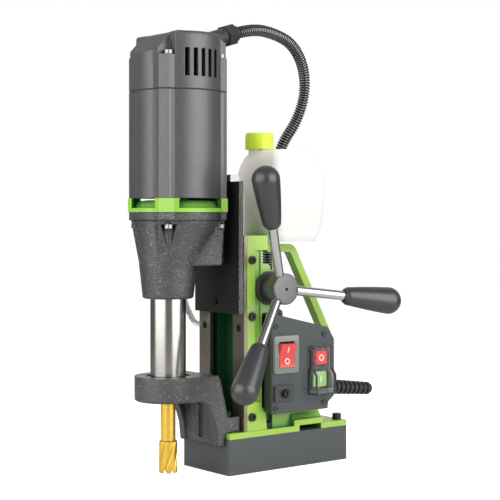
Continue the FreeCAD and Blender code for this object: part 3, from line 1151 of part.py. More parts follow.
def rocker_shape(y, z):
    """Rocker with a hollowed face, rest position pressed at its lower end."""
    half_y, half_z = 10.0, 12.6
    profile = [(-4, -half_z + 3), (-4, half_z - 3), (4.0, half_z), (7.5, half_z - 0.5), (4.6, 0),
               (7.5, -half_z + 0.5), (4.0, -half_z)]
    solid = face([(ROCKER_X + x, y - half_y, z + h) for x, h in profile]).extrude(V(0, 2 * half_y, 0))
    solid = fuse(solid, rod(1.5, (ROCKER_X, y - half_y - 1.2, z), (ROCKER_X, y + half_y + 1.2, z)))
    solid.rotate(V(ROCKER_X, y, z), V(0, 1, 0), ROCKER_TILT)
    return solid


def make_motor_switch():
    y = MOTOR_SWITCH_Y
    low, high = MOTOR_SWITCH_Z
    body = box((PANEL_BACK - 22, PANEL_X + 2), (y - 10.5, y + 10.5), (low + 4.5, high - 4.5))
    stop_z = (107.5, 122.0)
    start_z = (84.5, 100.0)
    for zs in (stop_z, start_z):
        body = body.cut(box((PANEL_X - 8, PANEL_X + 3), (y - 8.3, y + 8.3), (zs[0] - 0.3, zs[1] + 0.3)))
        middle = (zs[0] + zs[1]) / 2
        body = body.cut(rod(2.05, (PANEL_X - 14, y, middle), (PANEL_X, y, middle)))
    node("motor_switch_body", body)

    def button(zs, proud):
        middle = (zs[0] + zs[1]) / 2
        cap = box((PANEL_X - 4, PANEL_X + proud), (y - 8, y + 8), zs)
        cap = rounded(cap, 2.0, V(1, 0, 0))
        return fuse(cap, rod(2.0, (PANEL_X - 10, y, middle), (PANEL_X - 4, y, middle)))

    node("stop_button", button(stop_z, 5.0))
    node("start_button", button(start_z, 4.0))
    shallow, deep = 7.5, 12.5
    waist = 103.5
    side = [(PANEL_X, high - 1), (PANEL_X, low), (PANEL_X + deep, low), (PANEL_X + deep, waist - 7),
            (PANEL_X + shallow, waist), (PANEL_X + shallow, high - 1)]
    hood = along_y(side, (y - 14.5, y + 14.5))
    narrow = [box((PANEL_X - 1, PANEL_X + 30), sorted((y + s * 12.0, y + s * 30)), (waist, high + 5))
              for s in (-1, 1)]
    hood = cut(hood, *narrow)
    wall = 1.2
    bore_side = [(PANEL_X - 1, high - 1 - wall), (PANEL_X - 1, low + wall),
                 (PANEL_X + deep - wall, low + wall), (PANEL_X + deep - wall, waist - 7.3),
                 (PANEL_X + shallow - wall, waist - 0.3), (PANEL_X + shallow - wall, high - 1 - wall)]
    bore = along_y(bore_side, (y - 10.8, y + 10.8))
    hood = hood.cut(bore)
    for zs in (stop_z, start_z):
        hood = hood.cut(box((PANEL_X + 2, PANEL_X + 30), (y - 9, y + 9), (zs[0] - 1, zs[1] + 1)))
    node("motor_switch_guard", hood)


def make_fuse_and_board():
    size_y, size_z, proud = FUSE_SIZE
    cap = box((PANEL_X, PANEL_X + proud), (FUSE_Y - size_y / 2, FUSE_Y + size_y / 2),
              (FUSE_Z - size_z / 2, FUSE_Z + size_z / 2))
    cap = rounded(cap, 1.2, V(1, 0, 0))
    face_x = PANEL_X + proud
    knob = rod(FUSE_CAP_RADIUS, (face_x, FUSE_Y, FUSE_Z), (face_x + FUSE_CAP_PROUD, FUSE_Y, FUSE_Z))
    for index in range(6):
        angle = math.radians(60 * index)
        y, z = FUSE_Y + FUSE_CAP_RADIUS * math.cos(angle), FUSE_Z + FUSE_CAP_RADIUS * math.sin(angle)
        knob = knob.cut(rod(1.1, (face_x + 0.8, y, z), (face_x + 10, y, z)))
    slot = box((face_x + FUSE_CAP_PROUD - 1.2, face_x + 10), (FUSE_Y - 0.6, FUSE_Y + 0.6),
               (FUSE_Z - 3, FUSE_Z + 3))
    shank = rod(4.5 - RUNNING, (CHEEK_OUT + 4, FUSE_Y, FUSE_Z), (PANEL_X, FUSE_Y, FUSE_Z))
    node("fuse_holder", fuse(cap, knob, shank).cut(slot))
    floor_x = HOUSING_LEFT + HOUSING_SHELL
    board = box((floor_x + 5, floor_x + 6.6), (-8, 34), (76, 126))
    posts = [rod(2.5, (floor_x, y, z), (floor_x + 5, y, z)) for y in (-4, 30) for z in (80, 122)]
    parts = [box((floor_x + 6.6, floor_x + 18), (0, 18), (84, 104)),
             box((floor_x + 6.6, floor_x + 14), (22, 31), (84, 116)),
             rod(5.5, (floor_x + 6.6, 6, 114), (floor_x + 24, 6, 114))]
    node("circuit_board", fuse(board, *posts, *parts))


def sleeve_axis():
    """Start and direction of the mains cable's bend relief, on the box's rear wall."""
    return V(38.0, PANEL_REAR - PANEL_MARGIN, 81.0), V(0.0, 0.994, -0.11)


def make_cable_fittings():
    start, out = sleeve_axis()
    out.normalize()
    collar = rod(SLEEVE_RADIUS, start - out * 2, start + out * 6)
    collar = collar.cut(box((start.x - 9, start.x + 9), (start.y - 5, start.y), (start.z - 9, start.z + 9)))
    throat = rod(SLEEVE_RADIUS - 1.5, start - out * 7, start + out * 1.5)
    ribs = []
    for index in range(SLEEVE_RIBS):
        at = start + out * (9 + SLEEVE_RIB_PITCH * index)
        ribs.append(rod(SLEEVE_RADIUS - 0.15 * index, at, at + out * 3.6))
    core = cone(SLEEVE_RADIUS - 1.6, SLEEVE_RADIUS - 2.6, start + out * 1, start + out * SLEEVE_LENGTH)
    sleeve = fuse(core, throat, collar, *ribs).cut(rod(SLEEVE_BORE, start - out * 10, start + out * 80))
    node("mains_bend_relief", sleeve)
    seat, up = lower_fitting_axis()
    body = fuse(rod(FITTING_RADIUS - 2, seat - up * 14, seat),
                hexagon(NUT_ACROSS, seat, seat + up * LOWER_FITTING_LENGTH))
    body = body.cut(rod(HOSE_BORE / 2, seat - up * 20, seat + up * 20))
    node("lower_conduit_fitting", body)


def lower_fitting_axis():
    """Seat and direction of the conduit fitting on the control box's sloped top."""
    end = V(*HOSE_ROUTE[-1])
    up = V(*HOSE_ROUTE[-2]) - end
    up.normalize()
    return end - up * LOWER_FITTING_LENGTH, up


# ================================================================ handle and coolant
def make_handle():
    """Carrying handle: a bar from the column's head back over and down to the control box."""
    start = (WEB_FRONT + HEAD_DEPTH + SHELF_REACH, HANDLE_TOP - HANDLE_DEPTH / 2)
    rear_wall = PANEL_REAR - PANEL_MARGIN
    route = [(0, *start), (0, *HANDLE_KNEE), (0, *HANDLE_ELBOW), (0, *HANDLE_HEEL),
             (0, rear_wall, HANDLE_FOOT_Z)]
    path = tangent_path(route, HANDLE_BEND)[0]
    half_x, half_z = HANDLE_WIDTH / 2, HANDLE_DEPTH / 2
    y, z = start
    corners = [V(-half_x, y, z - half_z), V(half_x, y, z - half_z), V(half_x, y, z + half_z),
               V(-half_x, y, z + half_z)]
    section = Part.makePolygon(corners + corners[:1])
    bar = path.makePipeShell([section], True, False, 1).cut(box((-20, 20), (0, rear_wall), (90, 130)))
    foot = box((-13, 13), (rear_wall, rear_wall + 5), (HANDLE_FOOT_Z - 12, HANDLE_FOOT_Z + 12))
    bolts = [rod(4, (sx * 9, rear_wall + 5, HANDLE_FOOT_Z), (sx * 9, rear_wall + 9, HANDLE_FOOT_Z))
             for sx in (-1, 1)]
    node("carry_handle", fuse(bar, foot, *bolts))


def make_tank():
    half = TANK_WIDTH / 2
    zs = (TANK_BOTTOM, TANK_TOP)
    outer = tank_block(half, TANK_FRONT, TANK_REAR, zs, 0)
    inner = tank_block(half, TANK_FRONT, TANK_REAR, zs, TANK_WALL)
    neck = rod(NECK_RADIUS, (NECK_X, NECK_Y, TANK_TOP - 14), (NECK_X, NECK_Y, TANK_TOP + NECK_HEIGHT))
    bore = rod(NECK_RADIUS - 2, (NECK_X, NECK_Y, TANK_TOP - 20), (NECK_X, NECK_Y, TANK_TOP + NECK_HEIGHT + 1))
    body = fuse(outer, neck).cut(inner).cut(bore)
    step_y = WEB_FRONT + HEAD_DEPTH + SHELF_REACH + SLIDING
    recess = box((-SHELF_WIDTH / 2 - 1, SHELF_WIDTH / 2 + 1), (TANK_FRONT - 5, step_y),
                 (TANK_BOTTOM - 1, TANK_BOTTOM + TANK_STEP))
    floor = box((-SHELF_WIDTH / 2 - 3, SHELF_WIDTH / 2 + 3), (TANK_FRONT + 3, step_y + 2),
                (TANK_BOTTOM + 0.5, TANK_BOTTOM + TANK_STEP + TANK_WALL))
    body = fuse(body, floor).cut(recess)
    body = body.cut(rod(3.0, (TAP_X, TAP_Y, TANK_BOTTOM - 1), (TAP_X, TAP_Y, TANK_BOTTOM + 5)))
    node("coolant_tank", body)
    top = TANK_TOP + NECK_HEIGHT
    liner = rod(NECK_RADIUS - 0.5, (NECK_X, NECK_Y, top + SLIDING), (NECK_X, NECK_Y, top + SLIDING + 1.5))
    node("cap_liner", liner)
    cap_low = TANK_TOP + 1
    cap_top = top + SLIDING + CAP_LID
    cap = tube(CAP_RADIUS, NECK_RADIUS + 0.8, (NECK_X, NECK_Y, cap_low), (NECK_X, NECK_Y, cap_top - 2.2))
    lid = cone(CAP_RADIUS, CAP_RADIUS - 1, (NECK_X, NECK_Y, cap_top - 2.2), (NECK_X, NECK_Y, cap_top))
    node("tank_cap", fuse(cap, lid))
    tap = fuse(rod(3.0 - RUNNING, (TAP_X, TAP_Y, TANK_BOTTOM - 1), (TAP_X, TAP_Y, TANK_BOTTOM + 4)),
               hexagon(10, (TAP_X, TAP_Y, TANK_BOTTOM - 4), (TAP_X, TAP_Y, TANK_BOTTOM)),
               rod(4.5, (TAP_X, TAP_Y, TANK_BOTTOM - 14), (TAP_X, TAP_Y, TANK_BOTTOM - 4)),
               rod(3.0, (TAP_X, TAP_Y, TUBE_ROUTE[0][2]), (TAP_X, TAP_Y, TANK_BOTTOM - 13)))
    axis_z = TANK_BOTTOM - 9
    tap = tap.cut(rod(2.5 + RUNNING, (TAP_X, TAP_Y - 6, axis_z), (TAP_X, TAP_Y + 6, axis_z)))
    tap = tap.cut(rod(1.2, (TAP_X, TAP_Y, 200), (TAP_X, TAP_Y, 300)))
    node("coolant_tap", tap)
    lever = fuse(rod(2.5, (TAP_X, TAP_Y - 6, axis_z), (TAP_X, TAP_Y + 4, axis_z)),
                 rod(3.5, (TAP_X, TAP_Y - 8, axis_z), (TAP_X, TAP_Y - 5.2, axis_z)),
                 box((TAP_X - 16, TAP_X), (TAP_Y - 8, TAP_Y - 5.6), (axis_z - 2.2, axis_z + 2.2)))
    node("tap_lever", lever)


def tank_block(half, front, rear, zs, inset):
    """Blow-moulded block with round corners, bulging sides and sloped shoulders, pulled in by inset."""
    height = zs[1] - zs[0]
    sections = []
    for share, pinch in TANK_PROFILE:
        pull = pinch + inset
        z = zs[0] + inset + share * (height - 2 * inset)
        xs = (-half + pull, half - pull)
        sections.append(round_rectangle(xs, (front + pull, rear - pull), TANK_CORNER, z))
    return Part.makeLoft(sections, True, False)


def round_rectangle(xs, ys, radius, z):
    """Closed wire of a rectangle with round corners, from the middle of its front side."""
    edges = []
    centres = [(xs[1] - radius, ys[0] + radius, -45), (xs[1] - radius, ys[1] - radius, 45),
               (xs[0] + radius, ys[1] - radius, 135), (xs[0] + radius, ys[0] + radius, 225)]
    last = None
    first = None
    for x, y, middle_angle in centres:
        start, middle, end = [V(x + radius * math.cos(math.radians(middle_angle + turn)),
                                y + radius * math.sin(math.radians(middle_angle + turn)), z)
                              for turn in (-45, 0, 45)]
        if last:
            edges.append(Part.LineSegment(last, start).toShape())
        first = first or start
        edges.append(Part.Arc(start, middle, end).toShape())
        last = end
    edges.append(Part.LineSegment(last, first).toShape())
    return Part.Wire(edges)


def make_hoses():
    node("conduit_hose", hose(HOSE_ROUTE, HOSE_DIAMETER, HOSE_BORE, "conduit_hose"))
    node("coolant_tube", hose(TUBE_ROUTE, TUBE_DIAMETER, TUBE_DIAMETER - 2 * TUBE_WALL, "coolant_tube"))


def main():
    os.makedirs("parts", exist_ok=True)
    make_magnet()
    make_column()
    make_support()
    make_slide()
    make_capstan()
    make_gearbox()
    make_outlet_ring()
    make_motor()
    make_spindle()
    make_control_box()
    make_handle()
    make_tank()
    make_hoses()
    for name, shape in NODES.items():
        print(name, len(shape.Solids), round(shape.Volume), "valid" if shape.isValid() else "INVALID")
        shape.exportStep("parts/" + name + ".step")
    print(len(NODES), "nodes")


main()
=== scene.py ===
"""Looks of a magnetic drill press: finishes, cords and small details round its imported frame."""
import json
import logging
import math
from dataclasses import dataclass
from enum import Enum
from typing import Callable, Optional, Sequence, Union

import bmesh
import bpy
from bmesh.types import BMEdge, BMesh, BMVert
from bpy.types import ID, Material, Node, NodeOutputs, NodeSocket, NodeTree, Object
from mathutils import Matrix, Vector


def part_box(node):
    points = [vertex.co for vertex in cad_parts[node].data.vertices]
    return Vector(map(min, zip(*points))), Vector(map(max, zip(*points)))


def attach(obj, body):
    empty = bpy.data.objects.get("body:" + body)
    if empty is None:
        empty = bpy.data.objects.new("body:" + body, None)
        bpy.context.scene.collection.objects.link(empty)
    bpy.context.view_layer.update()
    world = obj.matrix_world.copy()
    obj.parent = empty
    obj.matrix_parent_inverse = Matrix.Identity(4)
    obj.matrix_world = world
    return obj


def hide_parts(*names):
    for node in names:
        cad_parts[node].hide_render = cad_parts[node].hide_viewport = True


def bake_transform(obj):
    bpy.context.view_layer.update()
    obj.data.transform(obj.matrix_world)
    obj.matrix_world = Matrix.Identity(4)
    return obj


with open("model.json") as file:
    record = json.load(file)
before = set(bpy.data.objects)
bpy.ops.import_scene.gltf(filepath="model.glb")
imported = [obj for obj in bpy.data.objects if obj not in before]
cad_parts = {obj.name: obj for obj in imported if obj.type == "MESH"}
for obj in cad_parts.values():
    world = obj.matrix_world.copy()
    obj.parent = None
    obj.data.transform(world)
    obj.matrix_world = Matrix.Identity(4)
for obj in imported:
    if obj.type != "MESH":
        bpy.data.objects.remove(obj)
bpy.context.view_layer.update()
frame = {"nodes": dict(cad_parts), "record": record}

LOG = logging.getLogger("drill_press")
MM = 0.001
JOIN_DISTANCE = 2e-6
FLAT_ANGLE = math.radians(0.4)
SMOOTH_ANGLE = math.radians(32)
QUARTER_TURN = math.radians(90)
WHITE = (1.0, 1.0, 1.0)
RECORD = frame["record"]
BODY_OF = {node: body for body, nodes in RECORD["behaviour"]["bodies"].items() for node in nodes}


class Axis(Enum):
    """Direction in which a surface was ground or brushed."""

    ALONG_Z = (1.0, 1.0, 0.03)
    TURNED = (1.0, 1.0, 6.0)
    AROUND_X = (6.0, 1.0, 1.0)


class Graph:
    """Small helper that adds and links shader nodes in one tree."""

    def __init__(self, tree: NodeTree) -> None:
        """Keep the tree that the nodes go into."""
        self.tree = tree

    def add(self, kind: str, settings: Optional[dict] = None, **inputs: object) -> Node:
        """Add a node.

        Args:
            kind: the node's type name, without its "ShaderNode" prefix.
            settings: properties of the node itself.
            inputs: socket values or output sockets, by socket name with underscores for spaces.

        Returns:
            The new node.
        """
        name = kind if kind.startswith("Node") else "ShaderNode" + kind
        node = self.tree.nodes.new(name)
        for key, value in (settings or {}).items():
            setattr(node, key, value)
        for key, value in inputs.items():
            self.feed(node, key.replace("_", " "), value)
        return node

    def feed(self, node: Node, socket: Union[str, int], value: object) -> None:
        """Give a socket a value or link an output to it.

        Args:
            node: the node that has the socket.
            socket: the socket's name or index.
            value: a number, a colour, a vector or an output socket.
        """
        target = node.inputs[socket]
        if isinstance(value, NodeSocket):
            self.tree.links.new(value, target)
        elif target.type == "RGBA" and len(value) == 3:
            target.default_value = (*value, 1.0)
        else:
            target.default_value = value

    def math(self, operation: str, first: object, second: object = 0.0,
             clamp: bool = False) -> NodeSocket:
        """Add a math node.

        Args:
            operation: the operation's name.
            first: its first operand.
            second: its second operand.
            clamp: whether the result stays between 0 and 1.

        Returns:
            The node's output socket.
        """
        node = self.add("Math", {"operation": operation, "use_clamp": clamp})
        self.feed(node, 0, first)
        self.feed(node, 1, second)
        return node.outputs[0]

    def ramp(self, value: object, start: float, gain: float) -> NodeSocket:
        """Give a mask that climbs from 0 at a value's start by gain per unit, up to 1."""
        return self.math("MULTIPLY", self.math("SUBTRACT", value, start), gain, clamp=True)

    def axes(self) -> NodeOutputs:
        """Give the outputs X, Y and Z of the place on the object, in metres."""
        return self.add("SeparateXYZ", Vector=self.add("TexCoord").outputs["Object"]).outputs

    def mix(self, factor: object, first: object, second: object) -> NodeSocket:
        """Mix two colours.

        Args:
            factor: 0 gives the first colour and 1 the second.
            first: a colour or a colour output.
            second: a colour or a colour output.

        Returns:
            The mixed colour's output socket.
        """
        node = self.add("Mix", {"data_type": "RGBA"})
        for index, value in ((0, factor), (6, first), (7, second)):
            self.feed(node, index, value)
        return node.outputs[2]

    def mix_shaders(self, factor: object, first: object, second: object) -> NodeSocket:
        """Mix two shaders.

        Args:
            factor: 0 gives the first shader and 1 the second.
            first: a shader output.
            second: a shader output.

        Returns:
            The mixed shader's output socket.
        """
        node = self.add("MixShader")
        for index, value in enumerate((factor, first, second)):
            self.feed(node, index, value)
        return node.outputs[0]


def effect_group(name: str, inputs: Sequence[tuple], output: tuple, wire: Callable) -> NodeTree:
    """Build a shared shader effect as a node group.

    Args:
        name: the group's name.
        inputs: (socket name, socket type, default) for each input.
        output: (socket name, socket type) of the one output.
        wire: takes the graph and the group's input node and returns the socket to put out.

    Returns:
        The node group.
    """
    tree = bpy.data.node_groups.new(name, "ShaderNodeTree")
    for label, kind, default in inputs:
        socket = tree.interface.new_socket(label, in_out="INPUT", socket_type=kind)
        socket.default_value = default
    tree.interface.new_socket(output[0], in_out="OUTPUT", socket_type=output[1])
    graph = Graph(tree)
    start = graph.add("NodeGroupInput")
    end = graph.add("NodeGroupOutput")
    tree.links.new(wire(graph, start), end.inputs[0])
    return tree


def wire_grain(graph: Graph, start: Node) -> NodeSocket:
    """Lay out fine bumps of a cast or moulded skin.

    Args:
        graph: the group's graph.
        start: the group's input node.

    Returns:
        A height between 0 and 1.
    """
    place = graph.add("TexCoord").outputs["Object"]
    fine = graph.add("TexNoise", Vector=place, Scale=start.outputs["Scale"], Detail=3.0, Roughness=0.62)
    cells = graph.add("TexVoronoi", {"feature": "SMOOTH_F1"}, Vector=place, Scale=start.outputs["Scale"])
    share = graph.math("MULTIPLY", cells.outputs["Distance"], start.outputs["Pebble"])
    return graph.math("SUBTRACT", fine.outputs["Fac"], share)


def wire_mottle(graph: Graph, start: Node) -> NodeSocket:
    """Lay out slow changes of a paint's or a metal's colour.

    Args:
        graph: the group's graph.
        start: the group's input node.

    Returns:
        The varied colour.
    """
    place = graph.add("TexCoord").outputs["Object"]
    slow = graph.add("TexNoise", Vector=place, Scale=start.outputs["Scale"], Detail=4.0, Roughness=0.6)
    level = graph.math("MULTIPLY", slow.outputs["Fac"], start.outputs["Amount"])
    value = graph.math("SUBTRACT", 1.0, level)
    varied = graph.add("HueSaturation", Color=start.outputs["Color"], Value=value)
    return varied.outputs["Color"]


def wire_streaks(graph: Graph, start: Node) -> NodeSocket:
    """Lay out the fine parallel lines that grinding or turning leaves.

    Args:
        graph: the group's graph.
        start: the group's input node.

    Returns:
        A value between 0 and 1.
    """
    place = graph.add("TexCoord").outputs["Object"]
    turned = graph.add("Mapping", Vector=place, Scale=start.outputs["Stretch"])
    lines = graph.add("TexNoise", Vector=turned.outputs["Vector"], Scale=start.outputs["Scale"], Detail=5.0,
                      Roughness=0.7)
    return lines.outputs["Fac"]


def wire_dust(graph: Graph, start: Node) -> NodeSocket:
    """Lay out a thin broken film of dust on what faces up.

    Args:
        graph: the group's graph.
        start: the group's input node.

    Returns:
        A mask between 0 and 1.
    """
    place = graph.add("TexCoord").outputs["Object"]
    up = graph.add("SeparateXYZ", Vector=graph.add("NewGeometry").outputs["Normal"]).outputs["Z"]
    speck = graph.add("TexNoise", Vector=place, Scale=180.0, Detail=5.0, Roughness=0.7).outputs["Fac"]
    lifted = graph.math("MULTIPLY", graph.math("MAXIMUM", up, 0.0), speck)
    return graph.math("MULTIPLY", lifted, start.outputs["Amount"], clamp=True)


def wire_painted_glints(graph: Graph, start: Node) -> NodeSocket:
    """Lay out painted highlights: tiny bright points that stand in for glints where a rough black skin
    catches light.

    Args:
        graph: the group's graph.
        start: the group's input node.

    Returns:
        A mask between 0 and 1.
    """
    place = graph.add("TexCoord").outputs["Object"]
    points = graph.add("TexVoronoi", Vector=place, Scale=start.outputs["Scale"]).outputs["Distance"]
    dots = graph.math("LESS_THAN", points, 0.24)
    wide = graph.math("MULTIPLY", start.outputs["Scale"], 0.3)
    some = graph.add("TexNoise", Vector=place, Scale=wide, Detail=2.0)
    kept = graph.math("GREATER_THAN", some.outputs["Fac"], 0.56)
    return graph.math("MULTIPLY", graph.math("MULTIPLY", dots, kept), start.outputs["Amount"])


GRAIN = effect_group("skin_grain", [("Scale", "NodeSocketFloat", 900.0), ("Pebble", "NodeSocketFloat", 0.3)],
                     ("Height", "NodeSocketFloat"), wire_grain)
MOTTLE = effect_group("slow_mottle", [("Color", "NodeSocketColor", (0.5, 0.5, 0.5, 1.0)),
                                      ("Scale", "NodeSocketFloat", 40.0), ("Amount", "NodeSocketFloat", 0.1)],
                      ("Color", "NodeSocketColor"), wire_mottle)
STREAKS = effect_group("ground_streaks", [("Stretch", "NodeSocketVector", (1.0, 1.0, 0.03)),
                                          ("Scale", "NodeSocketFloat", 900.0)],
                       ("Value", "NodeSocketFloat"), wire_streaks)
PAINTED_GLINTS = effect_group("painted_glints",
                      [("Scale", "NodeSocketFloat", 700.0), ("Amount", "NodeSocketFloat", 0.3)],
                      ("Mask", "NodeSocketFloat"), wire_painted_glints)
DUST = effect_group("settled_dust", [("Amount", "NodeSocketFloat", 0.1)],
                    ("Mask", "NodeSocketFloat"), wire_dust)
# Colour of the painted highlights (glints).
PAINTED_GLINT_COLOR = (0.55, 0.56, 0.55)
DUST_COLOR = (0.42, 0.41, 0.39)
# Gain of the painted shade that ambient occlusion lays into crevices.
PAINTED_SHADE_GAIN = 2.6
SUBSURFACE_SCALE = 0.01


@dataclass(frozen=True)
class Finish:
    """One surface finish of the machine, from its colour down to its finest grain.

    Lengths of bumps are in millimetres; scales are features per metre.
    """

    name: str
    color: tuple
    roughness: float
    metallic: float = 0.0
    rough_spread: float = 0.08
    grain_scale: float = 900.0
    grain_depth: float = 0.0
    pebble: float = 0.3
    mottle: float = 0.15
    mottle_scale: float = 40.0
    streaks: Optional[Axis] = None
    streak_scale: float = 900.0
    streak_depth: float = 0.0
    dust: float = 0.05
    coat: float = 0.0
    coat_roughness: float = 0.1
    transmission: float = 0.0
    ior: float = 1.5
    subsurface: float = 0.0
    soft_edge: float = 0.6
    # Strength and scale of painted highlights: bright glint points standing in for light caught by a rough
    # skin.
    speck: float = 0.0
    speck_scale: float = 700.0
    # Painted shade: a darker colour mixed in where ambient occlusion finds crevices, recesses and spots under
    # other parts.
    painted_crevice_shade: Optional[tuple] = None
    painted_shade_reach: float = 14.0
    painted_shade_start: float = 0.80

    def group(self, graph: Graph, tree: NodeTree, **inputs: object) -> NodeSocket:
        """Place a shared effect in the material.

        Args:
            graph: the material's graph.
            tree: the effect's node group.
            inputs: values or sockets for the group's inputs.

        Returns:
            The effect's output socket.
        """
        node = graph.add("Group", {"node_tree": tree})
        for key, value in inputs.items():
            graph.feed(node, key, value)
        return node.outputs[0]

    def tint(self, graph: Graph) -> NodeSocket:
        """Give the colour over the surface, with painted glints and painted shade in crevices where the
        finish asks for them; special finishes paint their own zones here.
        """
        base = self.group(graph, MOTTLE, Color=self.color, Scale=self.mottle_scale, Amount=self.mottle)
        # Painted highlights: bright glint points mixed into the colour.
        if self.speck:
            spot = self.group(graph, PAINTED_GLINTS, Scale=self.speck_scale, Amount=self.speck)
            base = graph.mix(spot, base, PAINTED_GLINT_COLOR)
        base = graph.mix(self.group(graph, DUST, Amount=self.dust), base, DUST_COLOR)
        # Painted shade: where ambient occlusion is low, the colour turns towards the crevice colour.
        if self.painted_crevice_shade:
            sky = graph.add("AmbientOcclusion", {"samples": 8}, Distance=self.painted_shade_reach * MM)
            shut = graph.math("SUBTRACT", self.painted_shade_start, sky.outputs["AO"])
            deep = graph.math("MULTIPLY", shut, PAINTED_SHADE_GAIN, clamp=True)
            base = graph.mix(deep, base, self.painted_crevice_shade)
        return base

    def shine(self, graph: Graph) -> NodeSocket:
        """Give the roughness over the surface."""
        if self.streaks:
            wave = self.group(graph, STREAKS, Stretch=self.streaks.value, Scale=self.streak_scale)
        else:
            wave = self.group(graph, GRAIN, Scale=self.grain_scale * 0.25, Pebble=0.0)
        shift = graph.math("MULTIPLY", graph.math("SUBTRACT", wave, 0.5), self.rough_spread * 2)
        return graph.math("ADD", shift, self.roughness, clamp=True)

    def level(self, graph: Graph) -> Optional[NodeSocket]:
        """Give the shine's strength over the surface, or None where it is the same all over."""
        return None

    def relief(self, graph: Graph) -> Optional[NodeSocket]:
        """Give the normal that the grain and the grinding lines bend, or None on a smooth finish."""
        normal = None
        if self.soft_edge:
            normal = graph.add("Bevel", {"samples": 6}, Radius=self.soft_edge * MM).outputs["Normal"]
        heights = []
        if self.grain_depth:
            skin = self.group(graph, GRAIN, Scale=self.grain_scale, Pebble=self.pebble)
            heights.append((skin, self.grain_depth))
        if self.streaks and self.streak_depth:
            lines = self.group(graph, STREAKS, Stretch=self.streaks.value, Scale=self.streak_scale)
            heights.append((lines, self.streak_depth))
        for height, depth in heights:
            bump = graph.add("Bump", Height=height, Distance=depth * MM, Strength=1.0)
            if normal:
                graph.feed(bump, "Normal", normal)
            normal = bump.outputs["Normal"]
        return normal

    def build(self) -> Material:
        """Make the material once and return it on every later call."""
        done = bpy.data.materials.get(self.name)
        if done:
            return done
        material = bpy.data.materials.new(self.name)
        material.use_nodes = True
        graph = Graph(material.node_tree)
        shader = material.node_tree.nodes["Principled BSDF"]
        graph.feed(shader, "Base Color", self.tint(graph))
        graph.feed(shader, "Roughness", self.shine(graph))
        level = self.level(graph)
        if level:
            graph.feed(shader, "Specular IOR Level", level)
        for socket, value in (("Metallic", self.metallic), ("Coat Weight", self.coat),
                              ("Coat Roughness", self.coat_roughness),
                              ("Transmission Weight", self.transmission), ("IOR", self.ior),
                              ("Subsurface Weight", self.subsurface),
                              ("Subsurface Scale", SUBSURFACE_SCALE)):
            shader.inputs[socket].default_value = value
        normal = self.relief(graph)
        if normal:
            graph.feed(shader, "Normal", normal)
        return material


@dataclass(frozen=True)
class PlateFinish(Finish):
    """Black slide plate whose two long edges show the coarse marks of the cutter."""

    edge: float = 38.3
    steel: tuple = (0.24, 0.24, 0.235)

    def tint(self, graph: Graph) -> NodeSocket:
        """Give black on the faces and broken grey on the long edges."""
        place = graph.add("TexCoord").outputs["Object"]
        side = graph.math("GREATER_THAN", graph.math("ABSOLUTE", graph.axes()["X"]), self.edge * MM)
        torn = graph.add("TexNoise", Vector=place, Scale=1100.0, Detail=3.0, Roughness=0.7)
        bare = graph.ramp(torn.outputs["Fac"], 0.42, 5.0)
        return graph.mix(graph.math("MULTIPLY", side, bare), super().tint(graph), self.steel)


@dataclass(frozen=True)
class ColumnFinish(Finish):
    """Green casting paint, with painted shade in the channel and a painted black shadow where the slide runs.
    """

    half_width: float = 27.0
    floor: float = -36.0
    groove: float = -48.5
    painted_channel_shade: tuple = (0.010, 0.100, 0.036)
    # Colour of the painted black shadow in the slide's groove.
    dark: tuple = (0.008, 0.010, 0.009)

    def tint(self, graph: Graph) -> NodeSocket:
        """Give the paint's colour, with a deeper green of painted shade in the channel and a painted black
        shadow in the slide's groove.
        """
        place = graph.axes()
        across = graph.math("LESS_THAN", graph.math("ABSOLUTE", place["X"]), self.half_width * MM)
        color = super().tint(graph)
        # Painted shade: deep green in front of the floor line and black shadow in front of the groove line,
        # within the half width.
        for front, zone in ((self.floor, self.painted_channel_shade), (self.groove, self.dark)):
            ahead = graph.math("LESS_THAN", place["Y"], front * MM)
            color = graph.mix(graph.math("MULTIPLY", across, ahead), color, zone)
        return color


@dataclass(frozen=True)
class TankFinish(Finish):
    """Milky blow-moulded plastic, darker on its outer flank and greyer in a band along its foot."""

    band: float = 247.0
    band_color: tuple = (0.86, 0.86, 0.84)
    flank: float = 20.0
    flank_gain: float = 100.0
    flank_color: tuple = (0.79, 0.78, 0.75)

    def tint(self, graph: Graph) -> NodeSocket:
        """Give the milky colour, darker on the outer flank and in the band along the foot."""
        place = graph.axes()
        outer = graph.ramp(place["X"], self.flank * MM, self.flank_gain)
        color = graph.mix(outer, super().tint(graph), self.flank_color)
        return graph.mix(graph.math("LESS_THAN", place["Z"], self.band * MM), color, self.band_color)


@dataclass(frozen=True)
class SpotFinish(Finish):
    """Finish with one round dark spot on the side that faces away from the column."""

    place: tuple = (0.0, 0.0)
    radius: float = 1.0
    beyond: float = 0.0
    spot: tuple = (0.004, 0.004, 0.004)

    def tint(self, graph: Graph) -> NodeSocket:
        """Give the colour, dark inside the spot's circle."""
        parts = graph.axes()
        offsets = [graph.math("POWER", graph.math("SUBTRACT", parts[axis], value * MM), 2.0)
                   for axis, value in zip("YZ", self.place)]
        inside = graph.math("LESS_THAN", graph.math("ADD", *offsets), (self.radius * MM) ** 2)
        outside = graph.math("GREATER_THAN", parts["X"], self.beyond * MM)
        return graph.mix(graph.math("MULTIPLY", inside, outside), super().tint(graph), self.spot)


